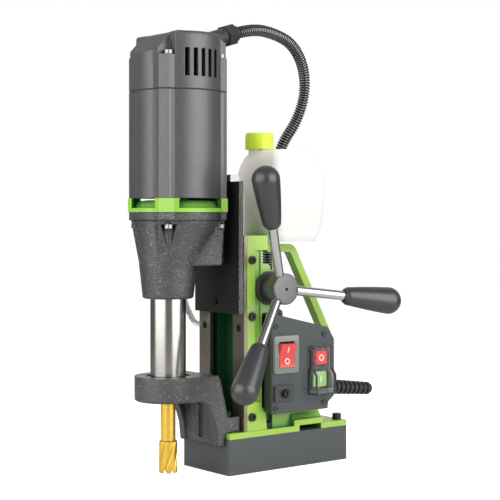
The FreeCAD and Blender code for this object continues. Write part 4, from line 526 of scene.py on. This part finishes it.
@dataclass(frozen=True)
class HoseFinish(Finish):
    """Glossy ribs with dull grooves darkened by painted shade, told apart by the mesh's own groove values."""

    painted_groove_shade: tuple = (0.006, 0.007, 0.007)

    def hollow(self, graph: Graph) -> NodeSocket:
        """Give the mask of the grooves, 0 on a rib's crest and 1 a third of the way down."""
        depth = graph.add("Attribute", {"attribute_name": "groove"}).outputs["Fac"]
        return graph.math("MULTIPLY", depth, 3.0, clamp=True)

    def tint(self, graph: Graph) -> NodeSocket:
        """Give the rib's colour, with nearly black painted shade in the grooves."""
        return graph.mix(self.hollow(graph), super().tint(graph), self.painted_groove_shade)

    def level(self, graph: Graph) -> Optional[NodeSocket]:
        """Give the shine's strength, which is faint in the grooves."""
        return graph.math("MULTIPLY", graph.math("SUBTRACT", 1.1, self.hollow(graph)), 0.455)


CASTING_COAT = {"grain_scale": 260.0, "grain_depth": 0.035, "pebble": 0.1, "mottle": 0.10,
                "mottle_scale": 25.0, "coat": 0.25, "coat_roughness": 0.2}
SWITCH_GLOSS = {"mottle": 0.08, "coat": 0.4, "coat_roughness": 0.12}
GROUND_LINES = {"streaks": Axis.ALONG_Z, "streak_scale": 1600.0, "streak_depth": 0.012, "rough_spread": 0.14}
# The crevice colours of the next finishes are painted shade in recesses and under other parts.
COLUMN_PAINT = ColumnFinish("column_green_paint", (0.35, 0.57, 0.07), 0.36, **CASTING_COAT,
                            painted_crevice_shade=(0.02, 0.20, 0.035), painted_shade_reach=34.0, painted_shade_start=0.68)
GREEN_PAINT = Finish("green_paint", (0.35, 0.57, 0.07), 0.36, **CASTING_COAT)
GREEN_PLASTIC = Finish("green_plastic", (0.30, 0.56, 0.06), 0.34, grain_scale=1500.0, grain_depth=0.01,
                       mottle=0.06, painted_crevice_shade=(0.010, 0.17, 0.02), painted_shade_reach=16.0, painted_shade_start=0.95)
CAP_PLASTIC = Finish("green_cap_plastic", (0.72, 0.90, 0.05), 0.38, grain_scale=1500.0, grain_depth=0.01,
                     mottle=0.08, subsurface=0.08)
# Its specks are painted highlights and its crevice colour is painted shade.
CAST_PAINT = Finish("textured_cast_paint", (0.034, 0.039, 0.036), 0.32, grain_scale=620.0, grain_depth=0.60,
                    pebble=0.7, mottle=0.45, mottle_scale=70.0, rough_spread=0.22, ior=1.8, soft_edge=3.0,
                    speck=0.60, painted_crevice_shade=(0.004, 0.005, 0.004), painted_shade_reach=20.0)
# Its specks are painted highlights.
MOTOR_PLASTIC = Finish("motor_shell_plastic", (0.024, 0.028, 0.027), 0.47, grain_scale=2600.0,
                       grain_depth=0.03, mottle=0.08, mottle_scale=18.0, rough_spread=0.06, ior=2.0,
                       soft_edge=1.2, speck=0.25, speck_scale=1100.0)
BOX_PLASTIC = Finish("switch_box_plastic", (0.026, 0.029, 0.029), 0.42, grain_scale=1400.0,
                     grain_depth=0.05, mottle=0.12, soft_edge=0.8)
PANEL_PLASTIC = Finish("panel_plastic", (0.056, 0.064, 0.064), 0.44, grain_scale=1800.0, grain_depth=0.025,
                       mottle=0.10, soft_edge=0.8)
KNOB_PLASTIC = Finish("knob_plastic", (0.020, 0.022, 0.023), 0.36, grain_scale=1400.0, grain_depth=0.012,
                      mottle=0.10, ior=1.75)
MAGNET_PAINT = Finish("magnet_enamel", (0.070, 0.078, 0.079), 0.42, grain_scale=700.0, grain_depth=0.03,
                      mottle=0.16, mottle_scale=30.0, soft_edge=0.9)
GROUND_STEEL = Finish("ground_steel", (0.34, 0.33, 0.31), 0.30, metallic=1.0, **GROUND_LINES, mottle=0.14)
STRIP_STEEL = Finish("oiled_strip_steel", (0.29, 0.255, 0.20), 0.34, metallic=0.9, **GROUND_LINES,
                     mottle=0.25)
GEAR_STEEL = Finish("gear_steel", (0.50, 0.49, 0.47), 0.28, metallic=1.0, streaks=Axis.TURNED,
                    streak_depth=0.008, rough_spread=0.10, mottle=0.18)
POLISHED = Finish("polished_arbor", (0.52, 0.505, 0.475), 0.22, metallic=1.0, streaks=Axis.TURNED,
                  streak_scale=1400.0, streak_depth=0.0015, rough_spread=0.04, mottle=0.03, dust=0.0,
                  soft_edge=0.0)
ROD_CHROME = Finish("rod_chrome", (0.60, 0.60, 0.60), 0.22, metallic=1.0, rough_spread=0.05, mottle=0.06,
                    dust=0.0, soft_edge=0.0)
BRIGHT_SCREW = Finish("bright_screw", (0.42, 0.42, 0.42), 0.40, metallic=1.0, grain_scale=1500.0,
                      grain_depth=0.01, mottle=0.12)
BLACK_SCREW = Finish("black_oxide_screw", (0.045, 0.046, 0.048), 0.36, metallic=0.85, grain_scale=1500.0,
                     grain_depth=0.012, mottle=0.25)
BLACK_OXIDE = Finish("black_oxide_plate", (0.050, 0.050, 0.048), 0.44, metallic=0.35, grain_depth=0.012,
                     mottle=0.22)
SLIDE_PLATE = PlateFinish("slide_plate_black", (0.014, 0.014, 0.013), 0.55, grain_scale=1100.0,
                          grain_depth=0.018, mottle=0.20, ior=1.35)
BRONZE = Finish("bearing_bronze", (0.52, 0.36, 0.16), 0.34, metallic=1.0, streaks=Axis.TURNED,
                streak_depth=0.006, mottle=0.20)
GOLD_COATING = Finish("gold_nitride", (0.98, 0.62, 0.10), 0.26, metallic=0.85, streaks=Axis.TURNED,
                      streak_scale=1200.0, streak_depth=0.006, rough_spread=0.10, mottle=0.14,
                      mottle_scale=90.0)
RED_PLASTIC = Finish("red_switch_plastic", (0.72, 0.060, 0.045), 0.26, **SWITCH_GLOSS)
GREEN_BUTTON = Finish("green_button_plastic", (0.32, 0.58, 0.19), 0.28, **SWITCH_GLOSS)
HUB_STEEL = SpotFinish("turned_hub_steel", (0.17, 0.175, 0.175), 0.36, metallic=0.8, streaks=Axis.AROUND_X,
                       streak_scale=1500.0, streak_depth=0.01, rough_spread=0.12, mottle=0.15,
                       soft_edge=1.6, place=(-27.5, 188.6), radius=1.7, beyond=60.0)
FUSE_PLASTIC = SpotFinish("fuse_plastic", (0.040, 0.045, 0.045), 0.38, grain_scale=1400.0, grain_depth=0.02,
                          mottle=0.10, soft_edge=0.8, place=(-21.8, 81.0), radius=4.6, beyond=57.0)
COVER_GREY = Finish("smoked_switch_cover", (0.20, 0.21, 0.19), 0.16, mottle=0.05, coat=0.6,
                    coat_roughness=0.06)
MARK_WHITE = Finish("white_mark", (0.85, 0.85, 0.82), 0.4, mottle=0.04)
GUARD_CLEAR = Finish("clear_guard", (0.95, 0.97, 0.96), 0.05, transmission=0.97, ior=1.40, mottle=0.0,
                     rough_spread=0.0, dust=0.0, soft_edge=0.5)
HOSE_RUBBER = HoseFinish("conduit_plastic", (0.034, 0.036, 0.037), 0.22, mottle=0.15, ior=2.8,
                         soft_edge=0.0)
SLEEVE_RUBBER = Finish("sleeve_rubber", (0.026, 0.028, 0.029), 0.34, mottle=0.15, soft_edge=0.0)
TUBE_CLEAR = Finish("clear_tube", (0.90, 0.93, 0.93), 0.14, transmission=0.8, ior=1.40, mottle=0.02,
                    dust=0.0)
TANK_MILK = TankFinish("milky_tank", (0.99, 0.95, 0.87), 0.50, subsurface=0.05, ior=1.35, mottle=0.03,
                       grain_scale=500.0, grain_depth=0.03, pebble=0.1, dust=0.0, soft_edge=0.0)
COPPER = Finish("enamelled_copper", (0.62, 0.26, 0.10), 0.32, metallic=0.9, streaks=Axis.ALONG_Z,
                mottle=0.2)
RESIN = Finish("cast_resin", (0.10, 0.095, 0.085), 0.5, grain_scale=300.0, grain_depth=0.06, mottle=0.25)
LAMINATION = Finish("lamination_steel", (0.30, 0.30, 0.31), 0.42, metallic=0.9, streaks=Axis.TURNED,
                    streak_scale=2500.0, streak_depth=0.02, mottle=0.2)
BOARD_GREEN = Finish("board_lacquer", (0.03, 0.20, 0.08), 0.35, mottle=0.2, coat=0.3)


@dataclass(frozen=True)
class Melt:
    """Region of a casting or moulding whose edges are rounder than its solid's."""

    low: tuple
    high: tuple
    inside: Callable
    rounds: int = 24
    step: float = 2.0
    margins: int = 6

    def apply(self, bm: BMesh) -> None:
        """Cut the mesh finely and let the region's surface relax.

        Args:
            bm: the mesh, in metres.
        """
        for axis in range(3):
            normal = Vector([float(axis == other) for other in range(3)])
            for index in range(int((self.high[axis] - self.low[axis]) / self.step) + 1):
                whole = list(bm.verts) + list(bm.edges) + list(bm.faces)
                place = normal * (self.low[axis] + index * self.step) * MM
                bmesh.ops.bisect_plane(bm, geom=whole, dist=1e-7, plane_co=place, plane_no=normal)
        bmesh.ops.triangulate(bm, faces=bm.faces)
        shells = [[vert for vert in bm.verts if self.inside(vert.co / MM, margin)]
                  for margin in range(self.margins)]
        for turn in range(self.rounds):
            bmesh.ops.smooth_vert(bm, verts=shells[turn % self.margins], factor=0.5, use_axis_x=True,
                                  use_axis_y=True, use_axis_z=True)


def clean_mesh(node: str, melt: Optional[Melt] = None) -> BMesh:
    """Copy a CAD node's mesh with its loose triangles joined and its flat faces whole.

    Args:
        node: the CAD node's name.
        melt: the region to round, or None.

    Returns:
        A bmesh of the copy.
    """
    bm = bmesh.new()
    bm.from_mesh(frame["nodes"][node].data)
    bmesh.ops.remove_doubles(bm, verts=bm.verts, dist=JOIN_DISTANCE)
    if melt:
        melt.apply(bm)
    else:
        bmesh.ops.dissolve_limit(bm, angle_limit=FLAT_ANGLE, verts=bm.verts, edges=bm.edges)
    for face in bm.faces:
        face.smooth = True
    for edge in bm.edges:
        edge.smooth = edge.calc_face_angle(0.0) < SMOOTH_ANGLE
    return bm


def place_object(name: str, data: ID) -> Object:
    """Link a new object that holds a mesh, curve, camera or lamp to the scene."""
    made = bpy.data.objects.new(name, data)
    bpy.context.scene.collection.objects.link(made)
    return made


def new_piece(name: str, bm: BMesh, body: Optional[str], finish: Finish) -> Object:
    """Turn a bmesh into a piece, which rides on a body if one is given.

    Args:
        name: the piece's name.
        bm: its mesh, which is freed.
        body: the body that it rides on, or None to leave it on no body.
        finish: its finish.

    Returns:
        The new object.
    """
    mesh = bpy.data.meshes.new(name)
    bm.to_mesh(mesh)
    bm.free()
    piece = place_object(name, mesh)
    mesh.materials.append(finish.build())
    if body:
        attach(piece, body)
    return piece


def dress(node: str, finish: Finish, melt: Optional[Melt] = None) -> Object:
    """Show a CAD node as a joined copy with smooth curves.

    Args:
        node: the CAD node's name.
        finish: its finish.
        melt: a region to round, or None.

    Returns:
        The piece that replaces the node.
    """
    piece = new_piece(node + ".dressed", clean_mesh(node, melt), BODY_OF[node], finish)
    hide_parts(node)
    LOG.info("%s dressed in %s", node, finish.name)
    return piece


def smooth_line(route: Sequence[tuple]) -> list:
    """Read evenly spaced points from the smooth line of a route.

    Args:
        route: the route's control points, in millimetres.

    Returns:
        Points of the line, in metres.
    """
    curve = bpy.data.curves.new("route", "CURVE")
    curve.dimensions = "3D"
    curve.resolution_u = 40
    spline = curve.splines.new("NURBS")
    spline.points.add(len(route) - 1)
    for point, place in zip(spline.points, route):
        point.co = (*[value * MM for value in place], 1.0)
    spline.order_u = 3
    spline.use_endpoint_u = True
    holder = place_object("route", curve)
    bpy.context.view_layer.update()
    mesh = bpy.data.meshes.new_from_object(holder)
    points = [vertex.co.copy() for vertex in mesh.vertices]
    bpy.data.objects.remove(holder)
    bpy.data.meshes.remove(mesh)
    return points


def line_length(points: Sequence[Vector]) -> float:
    """Add up a line's runs, in metres."""
    return sum((b - a).length for a, b in zip(points, points[1:]))


def spaced(points: Sequence[Vector], count: int) -> list:
    """Share a line into equal runs.

    Args:
        points: the line.
        count: how many runs.

    Returns:
        count + 1 points, both ends among them.
    """
    step = line_length(points) / count
    out = [points[0].copy()]
    travelled = 0.0
    for a, b in zip(points, points[1:]):
        run = (b - a).length
        while len(out) < count and run > 0 and travelled + run >= step * len(out):
            out.append(a.lerp(b, (step * len(out) - travelled) / run))
        travelled += run
    out.append(points[-1].copy())
    return out


def ring_frames(points: Sequence[Vector]) -> list:
    """Give each point of a line a frame whose Z follows the line, without twist.

    Args:
        points: the line.

    Returns:
        One matrix per point.
    """
    frames = []
    last = None
    for index, point in enumerate(points):
        ahead = points[min(index + 1, len(points) - 1)] - points[max(index - 1, 0)]
        ahead.normalize()
        if last is None:
            turn = Vector((0, 0, 1)).rotation_difference(ahead)
        else:
            turn = last[0].rotation_difference(ahead) @ last[1]
        last = (ahead, turn)
        frames.append(Matrix.Translation(point) @ turn.to_matrix().to_4x4())
    return frames


def swept_tube(centres: Sequence[Vector], radii: Sequence[float], sides: int,
               bore: float) -> BMesh:
    """Draw a ring along a line, and close both ends down to a bore.

    Args:
        centres: ring centres, in metres.
        radii: radius of each ring, in metres.
        sides: points round a ring.
        bore: radius of the hole in the ends, in metres.

    Returns:
        The tube's bmesh.
    """
    bm = bmesh.new()
    frames = ring_frames(centres)
    bmesh.ops.create_circle(bm, segments=sides, radius=radii[0], matrix=frames[0])
    first = list(bm.edges)
    edges = first
    last_frame, last_radius = frames[0], radii[0]
    for turn, radius in zip(frames[1:], radii[1:]):
        made = bmesh.ops.extrude_edge_only(bm, edges=edges)["geom"]
        verts = [item for item in made if isinstance(item, BMVert)]
        edges = [item for item in made if isinstance(item, BMEdge)]
        grow = Matrix.Diagonal((radius / last_radius,) * 3 + (1.0,))
        bmesh.ops.transform(bm, matrix=turn @ grow @ last_frame.inverted(), verts=verts)
        last_frame, last_radius = turn, radius
    for loop, turn, radius in ((edges, frames[-1], radii[-1]), (first, frames[0], radii[0])):
        made = bmesh.ops.extrude_edge_only(bm, edges=loop)["geom"]
        verts = [item for item in made if isinstance(item, BMVert)]
        shrink = Matrix.Diagonal((bore / radius,) * 3 + (1.0,))
        bmesh.ops.transform(bm, matrix=turn @ shrink @ turn.inverted(), verts=verts)
    bmesh.ops.recalc_face_normals(bm, faces=bm.faces)
    for face in bm.faces:
        face.smooth = True
    return bm


@dataclass
class Cord:
    """Flexible tube that hangs between the frame and the carriage; lengths in millimetres."""

    name: str = ""
    node: str = ""
    finish: Optional[Finish] = None
    route: tuple = ()
    radius: float = 1.0
    wall: float = 1.0
    sides: int = 20

    def rings(self, line: Sequence[Vector]) -> tuple:
        """Share the line into rings.

        Args:
            line: the smooth route, in metres.

        Returns:
            The rings' centres and radii, in metres.
        """
        raise NotImplementedError

    def mark(self, bm: BMesh) -> None:
        """Store on the mesh what its finish reads; a plain tube has nothing."""

    def build(self) -> Object:
        """Sweep the tube along its route and hang it between the two bodies."""
        line = smooth_line(self.route)
        centres, radii = self.rings(line)
        bm = swept_tube(centres, radii, self.sides, (self.radius - self.wall) * MM)
        self.mark(bm)
        piece = new_piece(self.name, bm, None, self.finish)
        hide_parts(self.node)
        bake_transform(piece)
        LOG.info("%s %.0f mm long", self.name, line_length(line) / MM)
        return piece


@dataclass
class Conduit(Cord):
    """Ribbed conduit from the switch box up and over to the motor's cap."""

    name: str = "ribbed_conduit"
    node: str = "conduit_hose"
    finish: Optional[Finish] = HOSE_RUBBER
    route: tuple = ((-26, 28, 158), (-39, 33.5, 187), (-46.5, 38.5, 217.5), (-48, 39.5, 250),
                    (-48, 42.5, 282), (-47.5, 48.5, 313.5), (-44, 57.5, 344.5), (-39, 75.5, 370.5),
                    (-33.5, 83, 401.5), (-26.5, 74.5, 431.5), (-19.5, 52.5, 453.5), (-12, 21, 461.5),
                    (-1.5, -17.5, 462.5), (0, -42, 455))
    radius: float = 6.3
    wall: float = 2.0
    sides: int = 28
    groove: float = 1.5
    pitch: float = 3.0
    rib: tuple = (1.0, 0.0, 0.0, 1.0)

    def rings(self, line: Sequence[Vector]) -> tuple:
        """Share the line into ribs, each of as many rings as its profile has depths."""
        ribs = round(line_length(line) / (self.pitch * MM))
        centres = spaced(line, ribs * len(self.rib))
        cycle = [self.radius - self.groove * depth for depth in self.rib]
        return centres, [cycle[index % len(cycle)] * MM for index in range(len(centres))]

    def mark(self, bm: BMesh) -> None:
        """Store each ring's depth in its groove."""
        depths = bm.verts.layers.float.new("groove")
        for index, vert in enumerate(bm.verts):
            vert[depths] = self.rib[index // self.sides % len(self.rib)]


@dataclass
class CoolantTube(Cord):
    """Thin clear tube from the tank's tap to the nozzle behind the arbor."""

    name: str = "clear_coolant_tube"
    node: str = "coolant_tube"
    finish: Optional[Finish] = TUBE_CLEAR
    route: tuple = ((-26, 2, 214), (-26, 2, 199), (-33, -1, 184), (-43, -6, 170), (-49, -17, 157),
                    (-50, -32, 149), (-48.5, -48, 146), (-43.5, -63.5, 149.5), (-30, -78, 158),
                    (-21, -90, 170), (-16, -98, 185), (-16, -98, 202))
    radius: float = 3.0
    runs: int = 130

    def rings(self, line: Sequence[Vector]) -> tuple:
        """Share the line into even runs of one radius."""
        centres = spaced(line, self.runs)
        return centres, [self.radius * MM] * len(centres)


@dataclass(frozen=True)
class Mark:
    """Raised switch mark, a ring for off or a bar for on; lengths in millimetres."""

    ring: bool
    size: float
    band: float = 1.1
    width: float = 1.3
    rise: float = 0.35

    def draw(self, bm: BMesh, place: Matrix) -> None:
        """Add the mark to a mesh.

        Args:
            bm: the mesh.
            place: where the mark lies; it faces local Z, and a bar runs along local Y.
        """
        if self.ring:
            rims = []
            for radius in (self.size, self.size - self.band):
                rims += bmesh.ops.create_circle(bm, segments=32, radius=radius * MM, matrix=place)["verts"]
            edges = [edge for edge in bm.edges if edge.verts[0] in rims and edge.verts[1] in rims]
            faces = bmesh.ops.bridge_loops(bm, edges=edges)["faces"]
        else:
            size = Matrix.Diagonal((self.width * MM, self.size * MM, 1.0, 1.0))
            grid = bmesh.ops.create_grid(bm, x_segments=1, y_segments=1, size=0.5, matrix=place @ size)
            faces = list({face for vert in grid["verts"] for face in vert.link_faces})
        made = bmesh.ops.extrude_face_region(bm, geom=faces)["geom"]
        verts = [item for item in made if isinstance(item, BMVert)]
        bmesh.ops.translate(bm, verts=verts, vec=place.to_3x3() @ Vector((0, 0, self.rise * MM)))
        bmesh.ops.recalc_face_normals(bm, faces=bm.faces)


@dataclass
class Assembly:
    """Sub-assembly whose CAD nodes are dressed one by one, each in its finish."""

    finishes: tuple = ()

    def melts(self) -> dict:
        """Give the regions to round, by node; most sub-assemblies have none."""
        return {}

    def build(self) -> None:
        """Dress the nodes in order."""
        melts = self.melts()
        for node, finish in self.finishes:
            dress(node, finish, melts.get(node))


@dataclass
class MagnetBase(Assembly):
    """Electromagnet block with its potted underside and the screws through the column's foot."""

    finishes: tuple = (("magnet_body", MAGNET_PAINT), ("magnet_potting", RESIN), ("magnet_coil", COPPER),
                       ("base_bolts", BLACK_SCREW))


@dataclass
class Column(Assembly):
    """Green column casting with its guide strips, carrying handle and pinion collar."""

    finishes: tuple = (("column_frame", COLUMN_PAINT), ("carry_handle", GREEN_PAINT),
                       ("guide_strips", STRIP_STEEL), ("guide_screws", BLACK_SCREW), ("gib_strip", BRONZE),
                       ("shaft_collar", BLACK_OXIDE), ("arbor_support", CAST_PAINT),
                       ("support_bush", BRONZE))


@dataclass
class Slide(Assembly):
    """Steel slide with its rack, which carries the gearbox and motor."""

    finishes: tuple = (("slide_plate", SLIDE_PLATE), ("slide_bar", GROUND_STEEL),
                       ("slide_screws", BLACK_SCREW), ("gear_rack", GEAR_STEEL))


@dataclass
class Capstan(Assembly):
    """Three-armed feed capstan on its pinion shaft."""

    finishes: tuple = (("pinion_shaft", GEAR_STEEL), ("capstan_hub", HUB_STEEL),
                       ("capstan_rods", ROD_CHROME), ("capstan_knobs", KNOB_PLASTIC))


@dataclass
class Motor(Assembly):
    """Gearbox casting, green air outlet, motor shell and what turns inside."""

    finishes: tuple = (("gearbox_housing", CAST_PAINT), ("gear_plate", CAST_PAINT),
                       ("outlet_ring", GREEN_PLASTIC), ("motor_housing", MOTOR_PLASTIC),
                       ("motor_cap", MOTOR_PLASTIC), ("upper_conduit_fitting", BOX_PLASTIC),
                       ("motor_screws", BRIGHT_SCREW), ("coolant_nozzle", BRONZE),
                       ("ball_bearings", BRIGHT_SCREW), ("field_stator", LAMINATION),
                       ("brush_gear", BRONZE), ("armature_shaft", GEAR_STEEL),
                       ("armature_core", LAMINATION), ("cooling_fan", BOX_PLASTIC))
    axis_y: float = -115.0
    screw_places: tuple = ((30.0, -147.0), (30.0, -83.0))
    screw_clear: float = 10.5
    fitting_y: float = -76.0
    fitting_clear: float = 15.0
    cap_half_width: float = 23.5
    cap_half_length: float = 25.5
    cap_nose: float = 414.0
    cap_shoulder: float = 432.5
    barrel_side: float = 16.0
    side_ends: tuple = (-136.0, -76.0)
    side_heights: tuple = (214.6, 253.0)

    def in_cap(self, place: Vector, margin: int) -> bool:
        """Tell whether a point of the cap lies on its rounded top, between its screw pockets.

        Args:
            place: the point, in millimetres.
            margin: how far the region draws in.

        Returns:
            Whether the point relaxes.
        """
        x, y, z = place
        if math.hypot(x, y - self.fitting_y) < self.fitting_clear + margin:
            return False
        between = abs(x) < self.cap_half_width - margin * 0.8
        nose = between and y < self.axis_y and z > self.cap_nose + margin
        inner = between or abs(y - self.axis_y) < self.cap_half_length - margin * 0.8
        return nose or (z > self.cap_shoulder + margin * 0.5 and inner)

    def in_gearbox(self, place: Vector, margin: int) -> bool:
        """Tell whether a point of the gearbox lies where its barrel runs into its sides.

        Args:
            place: the point, in millimetres.
            margin: how far the region draws in.

        Returns:
            Whether the point relaxes.
        """
        x, y, z = place
        nearest = min(math.hypot(abs(x) - px, y - py) for px, py in self.screw_places)
        (front, rear), (low, high) = self.side_ends, self.side_heights
        return (nearest > self.screw_clear + margin * 0.5 and abs(x) > self.barrel_side
                and front + margin < y < rear and low + margin * 0.4 < z < high - margin)

    def melts(self) -> dict:
        """Give the gearbox's sides and the cap's top."""
        return {"gearbox_housing": Melt((-46, -138, 212), (46, -78, 254), self.in_gearbox, rounds=60),
                "motor_cap": Melt((-44, -158, 412), (44, -70, 448), self.in_cap)}


@dataclass
class Spindle(Assembly):
    """Polished arbor with its gear train, annular cutter and pilot pin."""

    finishes: tuple = (("arbor", POLISHED), ("cutter_screws", BLACK_SCREW), ("spindle_gear", GEAR_STEEL),
                       ("idler_gear", GEAR_STEEL), ("annular_cutter", GOLD_COATING),
                       ("pilot_pin", ROD_CHROME))


@dataclass
class SwitchBox(Assembly):
    """Control box with its panel, two switches, fuse and cable fittings."""

    finishes: tuple = (("control_housing", BOX_PLASTIC), ("control_panel", PANEL_PLASTIC),
                       ("panel_screws", PANEL_PLASTIC), ("magnet_switch_frame", COVER_GREY),
                       ("magnet_switch_rocker", RED_PLASTIC), ("motor_switch_body", BOX_PLASTIC),
                       ("stop_button", RED_PLASTIC), ("start_button", GREEN_BUTTON),
                       ("motor_switch_guard", GUARD_CLEAR), ("fuse_holder", FUSE_PLASTIC),
                       ("circuit_board", BOARD_GREEN), ("mains_bend_relief", SLEEVE_RUBBER),
                       ("lower_conduit_fitting", BOX_PLASTIC))
    rocker_axis: tuple = (53.5, -19.0, 120.7)
    rocker_face: float = 5.95
    rocker_lean: float = 9.0
    rocker_marks: tuple = ((6.0, 13.5, Mark(ring=False, size=6.2)),
                           (-6.0, -13.5, Mark(ring=True, size=3.2)))
    button_marks: tuple = (("stop_button", "stop_push", Mark(ring=True, size=3.4)),
                           ("start_button", "start_push", Mark(ring=False, size=6.6)))
    sunk: float = 0.05

    def build(self) -> None:
        """Dress the box, and raise a mark on each button and two on the rocker."""
        super().build()
        facing = Matrix.Rotation(QUARTER_TURN, 4, "Z") @ Matrix.Rotation(QUARTER_TURN, 4, "X")
        axis = Matrix.Translation(Vector(self.rocker_axis) * MM)
        slope = axis @ Matrix.Rotation(math.radians(self.rocker_lean), 4, "Y")
        bm = bmesh.new()
        for height, lean, mark in self.rocker_marks:
            tip = Matrix.Translation(Vector((self.rocker_face * MM, 0.0, height * MM)))
            mark.draw(bm, slope @ tip @ Matrix.Rotation(math.radians(lean), 4, "Y") @ facing)
        rocker = "magnet_switch_rocker"
        new_piece("rocker_marks", bm, BODY_OF[rocker], MARK_WHITE)
        for node, body, mark in self.button_marks:
            low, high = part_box(node)
            middle = (low + high) / 2
            bm = bmesh.new()
            mark.draw(bm, Matrix.Translation((high.x - self.sunk * MM, middle.y, middle.z)) @ facing)
            new_piece(node + "_mark", bm, body, MARK_WHITE)


@dataclass
class Coolant(Assembly):
    """Milky coolant tank with its green cap, tap and lever."""

    finishes: tuple = (("coolant_tank", TANK_MILK), ("tank_cap", CAP_PLASTIC), ("cap_liner", MARK_WHITE),
                       ("coolant_tap", BRONZE), ("tap_lever", BOX_PLASTIC))


@dataclass
class Studio:
    """Camera, lamps, pale floor and white background."""

    eye: tuple = (1.119, -0.892, 0.2637)
    heading: float = 51.44
    lens: float = 96.2
    shift: tuple = (-0.0326, -0.069)
    lamps: tuple = (("right", (1.12, 0.28, 0.61), 15.5, (1.2, 1.2)),
                    ("left", (0.03, -1.15, 0.61), 14.5, (1.55, 1.2)),
                    ("top", (-0.1, -0.1, 1.9), 13.0, (1.3, 1.3)))
    aim: tuple = (0.0, -0.05, 0.45)
    ambient: float = 0.38
    backdrop: tuple = (-0.78, 0.62, 0.1)
    backdrop_range: tuple = (0.45, 1.0, 0.24, 0.85)
    floor_size: float = 12.0
    floor_range: tuple = (0.55, 0.95)
    floor_colors: tuple = ((0.62, 0.62, 0.62), (0.16, 0.16, 0.16))
    floor_lift: tuple = (0.80, 0.14)

    def camera(self) -> None:
        """Set the camera level with the column's middle."""
        data = bpy.data.cameras.new("view")
        data.lens = self.lens
        data.sensor_width = 36.0
        data.shift_x, data.shift_y = self.shift
        data.clip_start = 0.05
        data.clip_end = 100.0
        eye = place_object("view", data)
        eye.location = self.eye
        eye.rotation_euler = (QUARTER_TURN, 0, math.radians(self.heading))
        bpy.context.scene.camera = eye

    def light(self) -> None:
        """Hang the soft lamps, the top one out of reflections."""
        for name, place, power, size in self.lamps:
            data = bpy.data.lights.new(name, "AREA")
            data.energy = power
            data.shape = "RECTANGLE"
            data.size, data.size_y = size
            lamp = place_object(name, data)
            lamp.location = place
            lamp.visible_glossy = name != "top"
            x, y, z = self.aim
            aim = Vector((x, y, min(place[2], z))) - Vector(place)
            lamp.rotation_euler = aim.to_track_quat("-Z", "Y").to_euler()

    def surround(self) -> None:
        """Give a white view, a dim ambient light and a graded white in reflections."""
        world = bpy.data.worlds.new("studio")
        world.use_nodes = True
        bpy.context.scene.world = world
        graph = Graph(world.node_tree)
        paths = graph.add("LightPath").outputs
        seen = graph.math("MAXIMUM", paths["Is Camera Ray"], paths["Is Transmission Ray"])
        way = graph.add("VectorMath", {"operation": "DOT_PRODUCT"})
        graph.feed(way, 0, graph.add("TexCoord").outputs["Generated"])
        graph.feed(way, 1, self.backdrop)
        pale = graph.add("MapRange", Value=way.outputs["Value"])
        for index, value in enumerate(self.backdrop_range, start=1):
            graph.feed(pale, index, value)
        dim, shiny, white = (graph.add("Background", Color=WHITE, Strength=strength).outputs[0]
                             for strength in (self.ambient, pale.outputs["Result"], 1.0))
        around = graph.mix_shaders(paths["Is Glossy Ray"], dim, shiny)
        graph.feed(world.node_tree.nodes["World Output"], "Surface", graph.mix_shaders(seen, around, white))

    def floor(self) -> None:
        """Lay the pale floor that takes the machine's soft shadow."""
        bm = bmesh.new()
        bmesh.ops.create_grid(bm, x_segments=1, y_segments=1, size=self.floor_size)
        mesh = bpy.data.meshes.new("floor")
        bm.to_mesh(mesh)
        bm.free()
        ground = place_object("floor", mesh)
        material = bpy.data.materials.new("pale_floor")
        material.use_nodes = True
        shader = material.node_tree.nodes["Principled BSDF"]
        shader.inputs["Roughness"].default_value = 0.9
        graph = Graph(material.node_tree)
        away = graph.add("VectorMath", {"operation": "LENGTH"})
        graph.feed(away, 0, graph.add("TexCoord").outputs["Object"])
        far = graph.add("MapRange", Value=away.outputs["Value"])
        for index, value in enumerate(self.floor_range, start=1):
            graph.feed(far, index, value)
        graph.feed(shader, "Base Color", graph.mix(far.outputs["Result"], *self.floor_colors))
        near, rise = self.floor_lift
        lift = graph.math("ADD", graph.math("MULTIPLY", far.outputs["Result"], rise), near)
        both = graph.add("AddShader")
        graph.feed(both, 0, shader.outputs[0])
        graph.feed(both, 1, graph.add("Emission", Color=WHITE, Strength=lift).outputs[0])
        camera = graph.add("LightPath").outputs["Is Camera Ray"]
        shown = graph.mix_shaders(camera, shader.outputs[0], both.outputs[0])
        graph.feed(material.node_tree.nodes["Material Output"], "Surface", shown)
        mesh.materials.append(material)

    def build(self) -> None:
        """Set up the view."""
        self.camera()
        self.light()
        self.surround()
        self.floor()
        bpy.context.scene.view_settings.view_transform = "Standard"


def main() -> None:
    """Build the studio, the cords and every sub-assembly in order."""
    logging.basicConfig(level=logging.INFO, format="%(message)s")
    for part in (Studio(), Conduit(), CoolantTube(), MagnetBase(), Column(), Slide(), Capstan(), Motor(),
                 Spindle(), SwitchBox(), Coolant()):
        part.build()
        LOG.info("%s done", type(part).__name__)


if __name__ == "__main__":
    main()
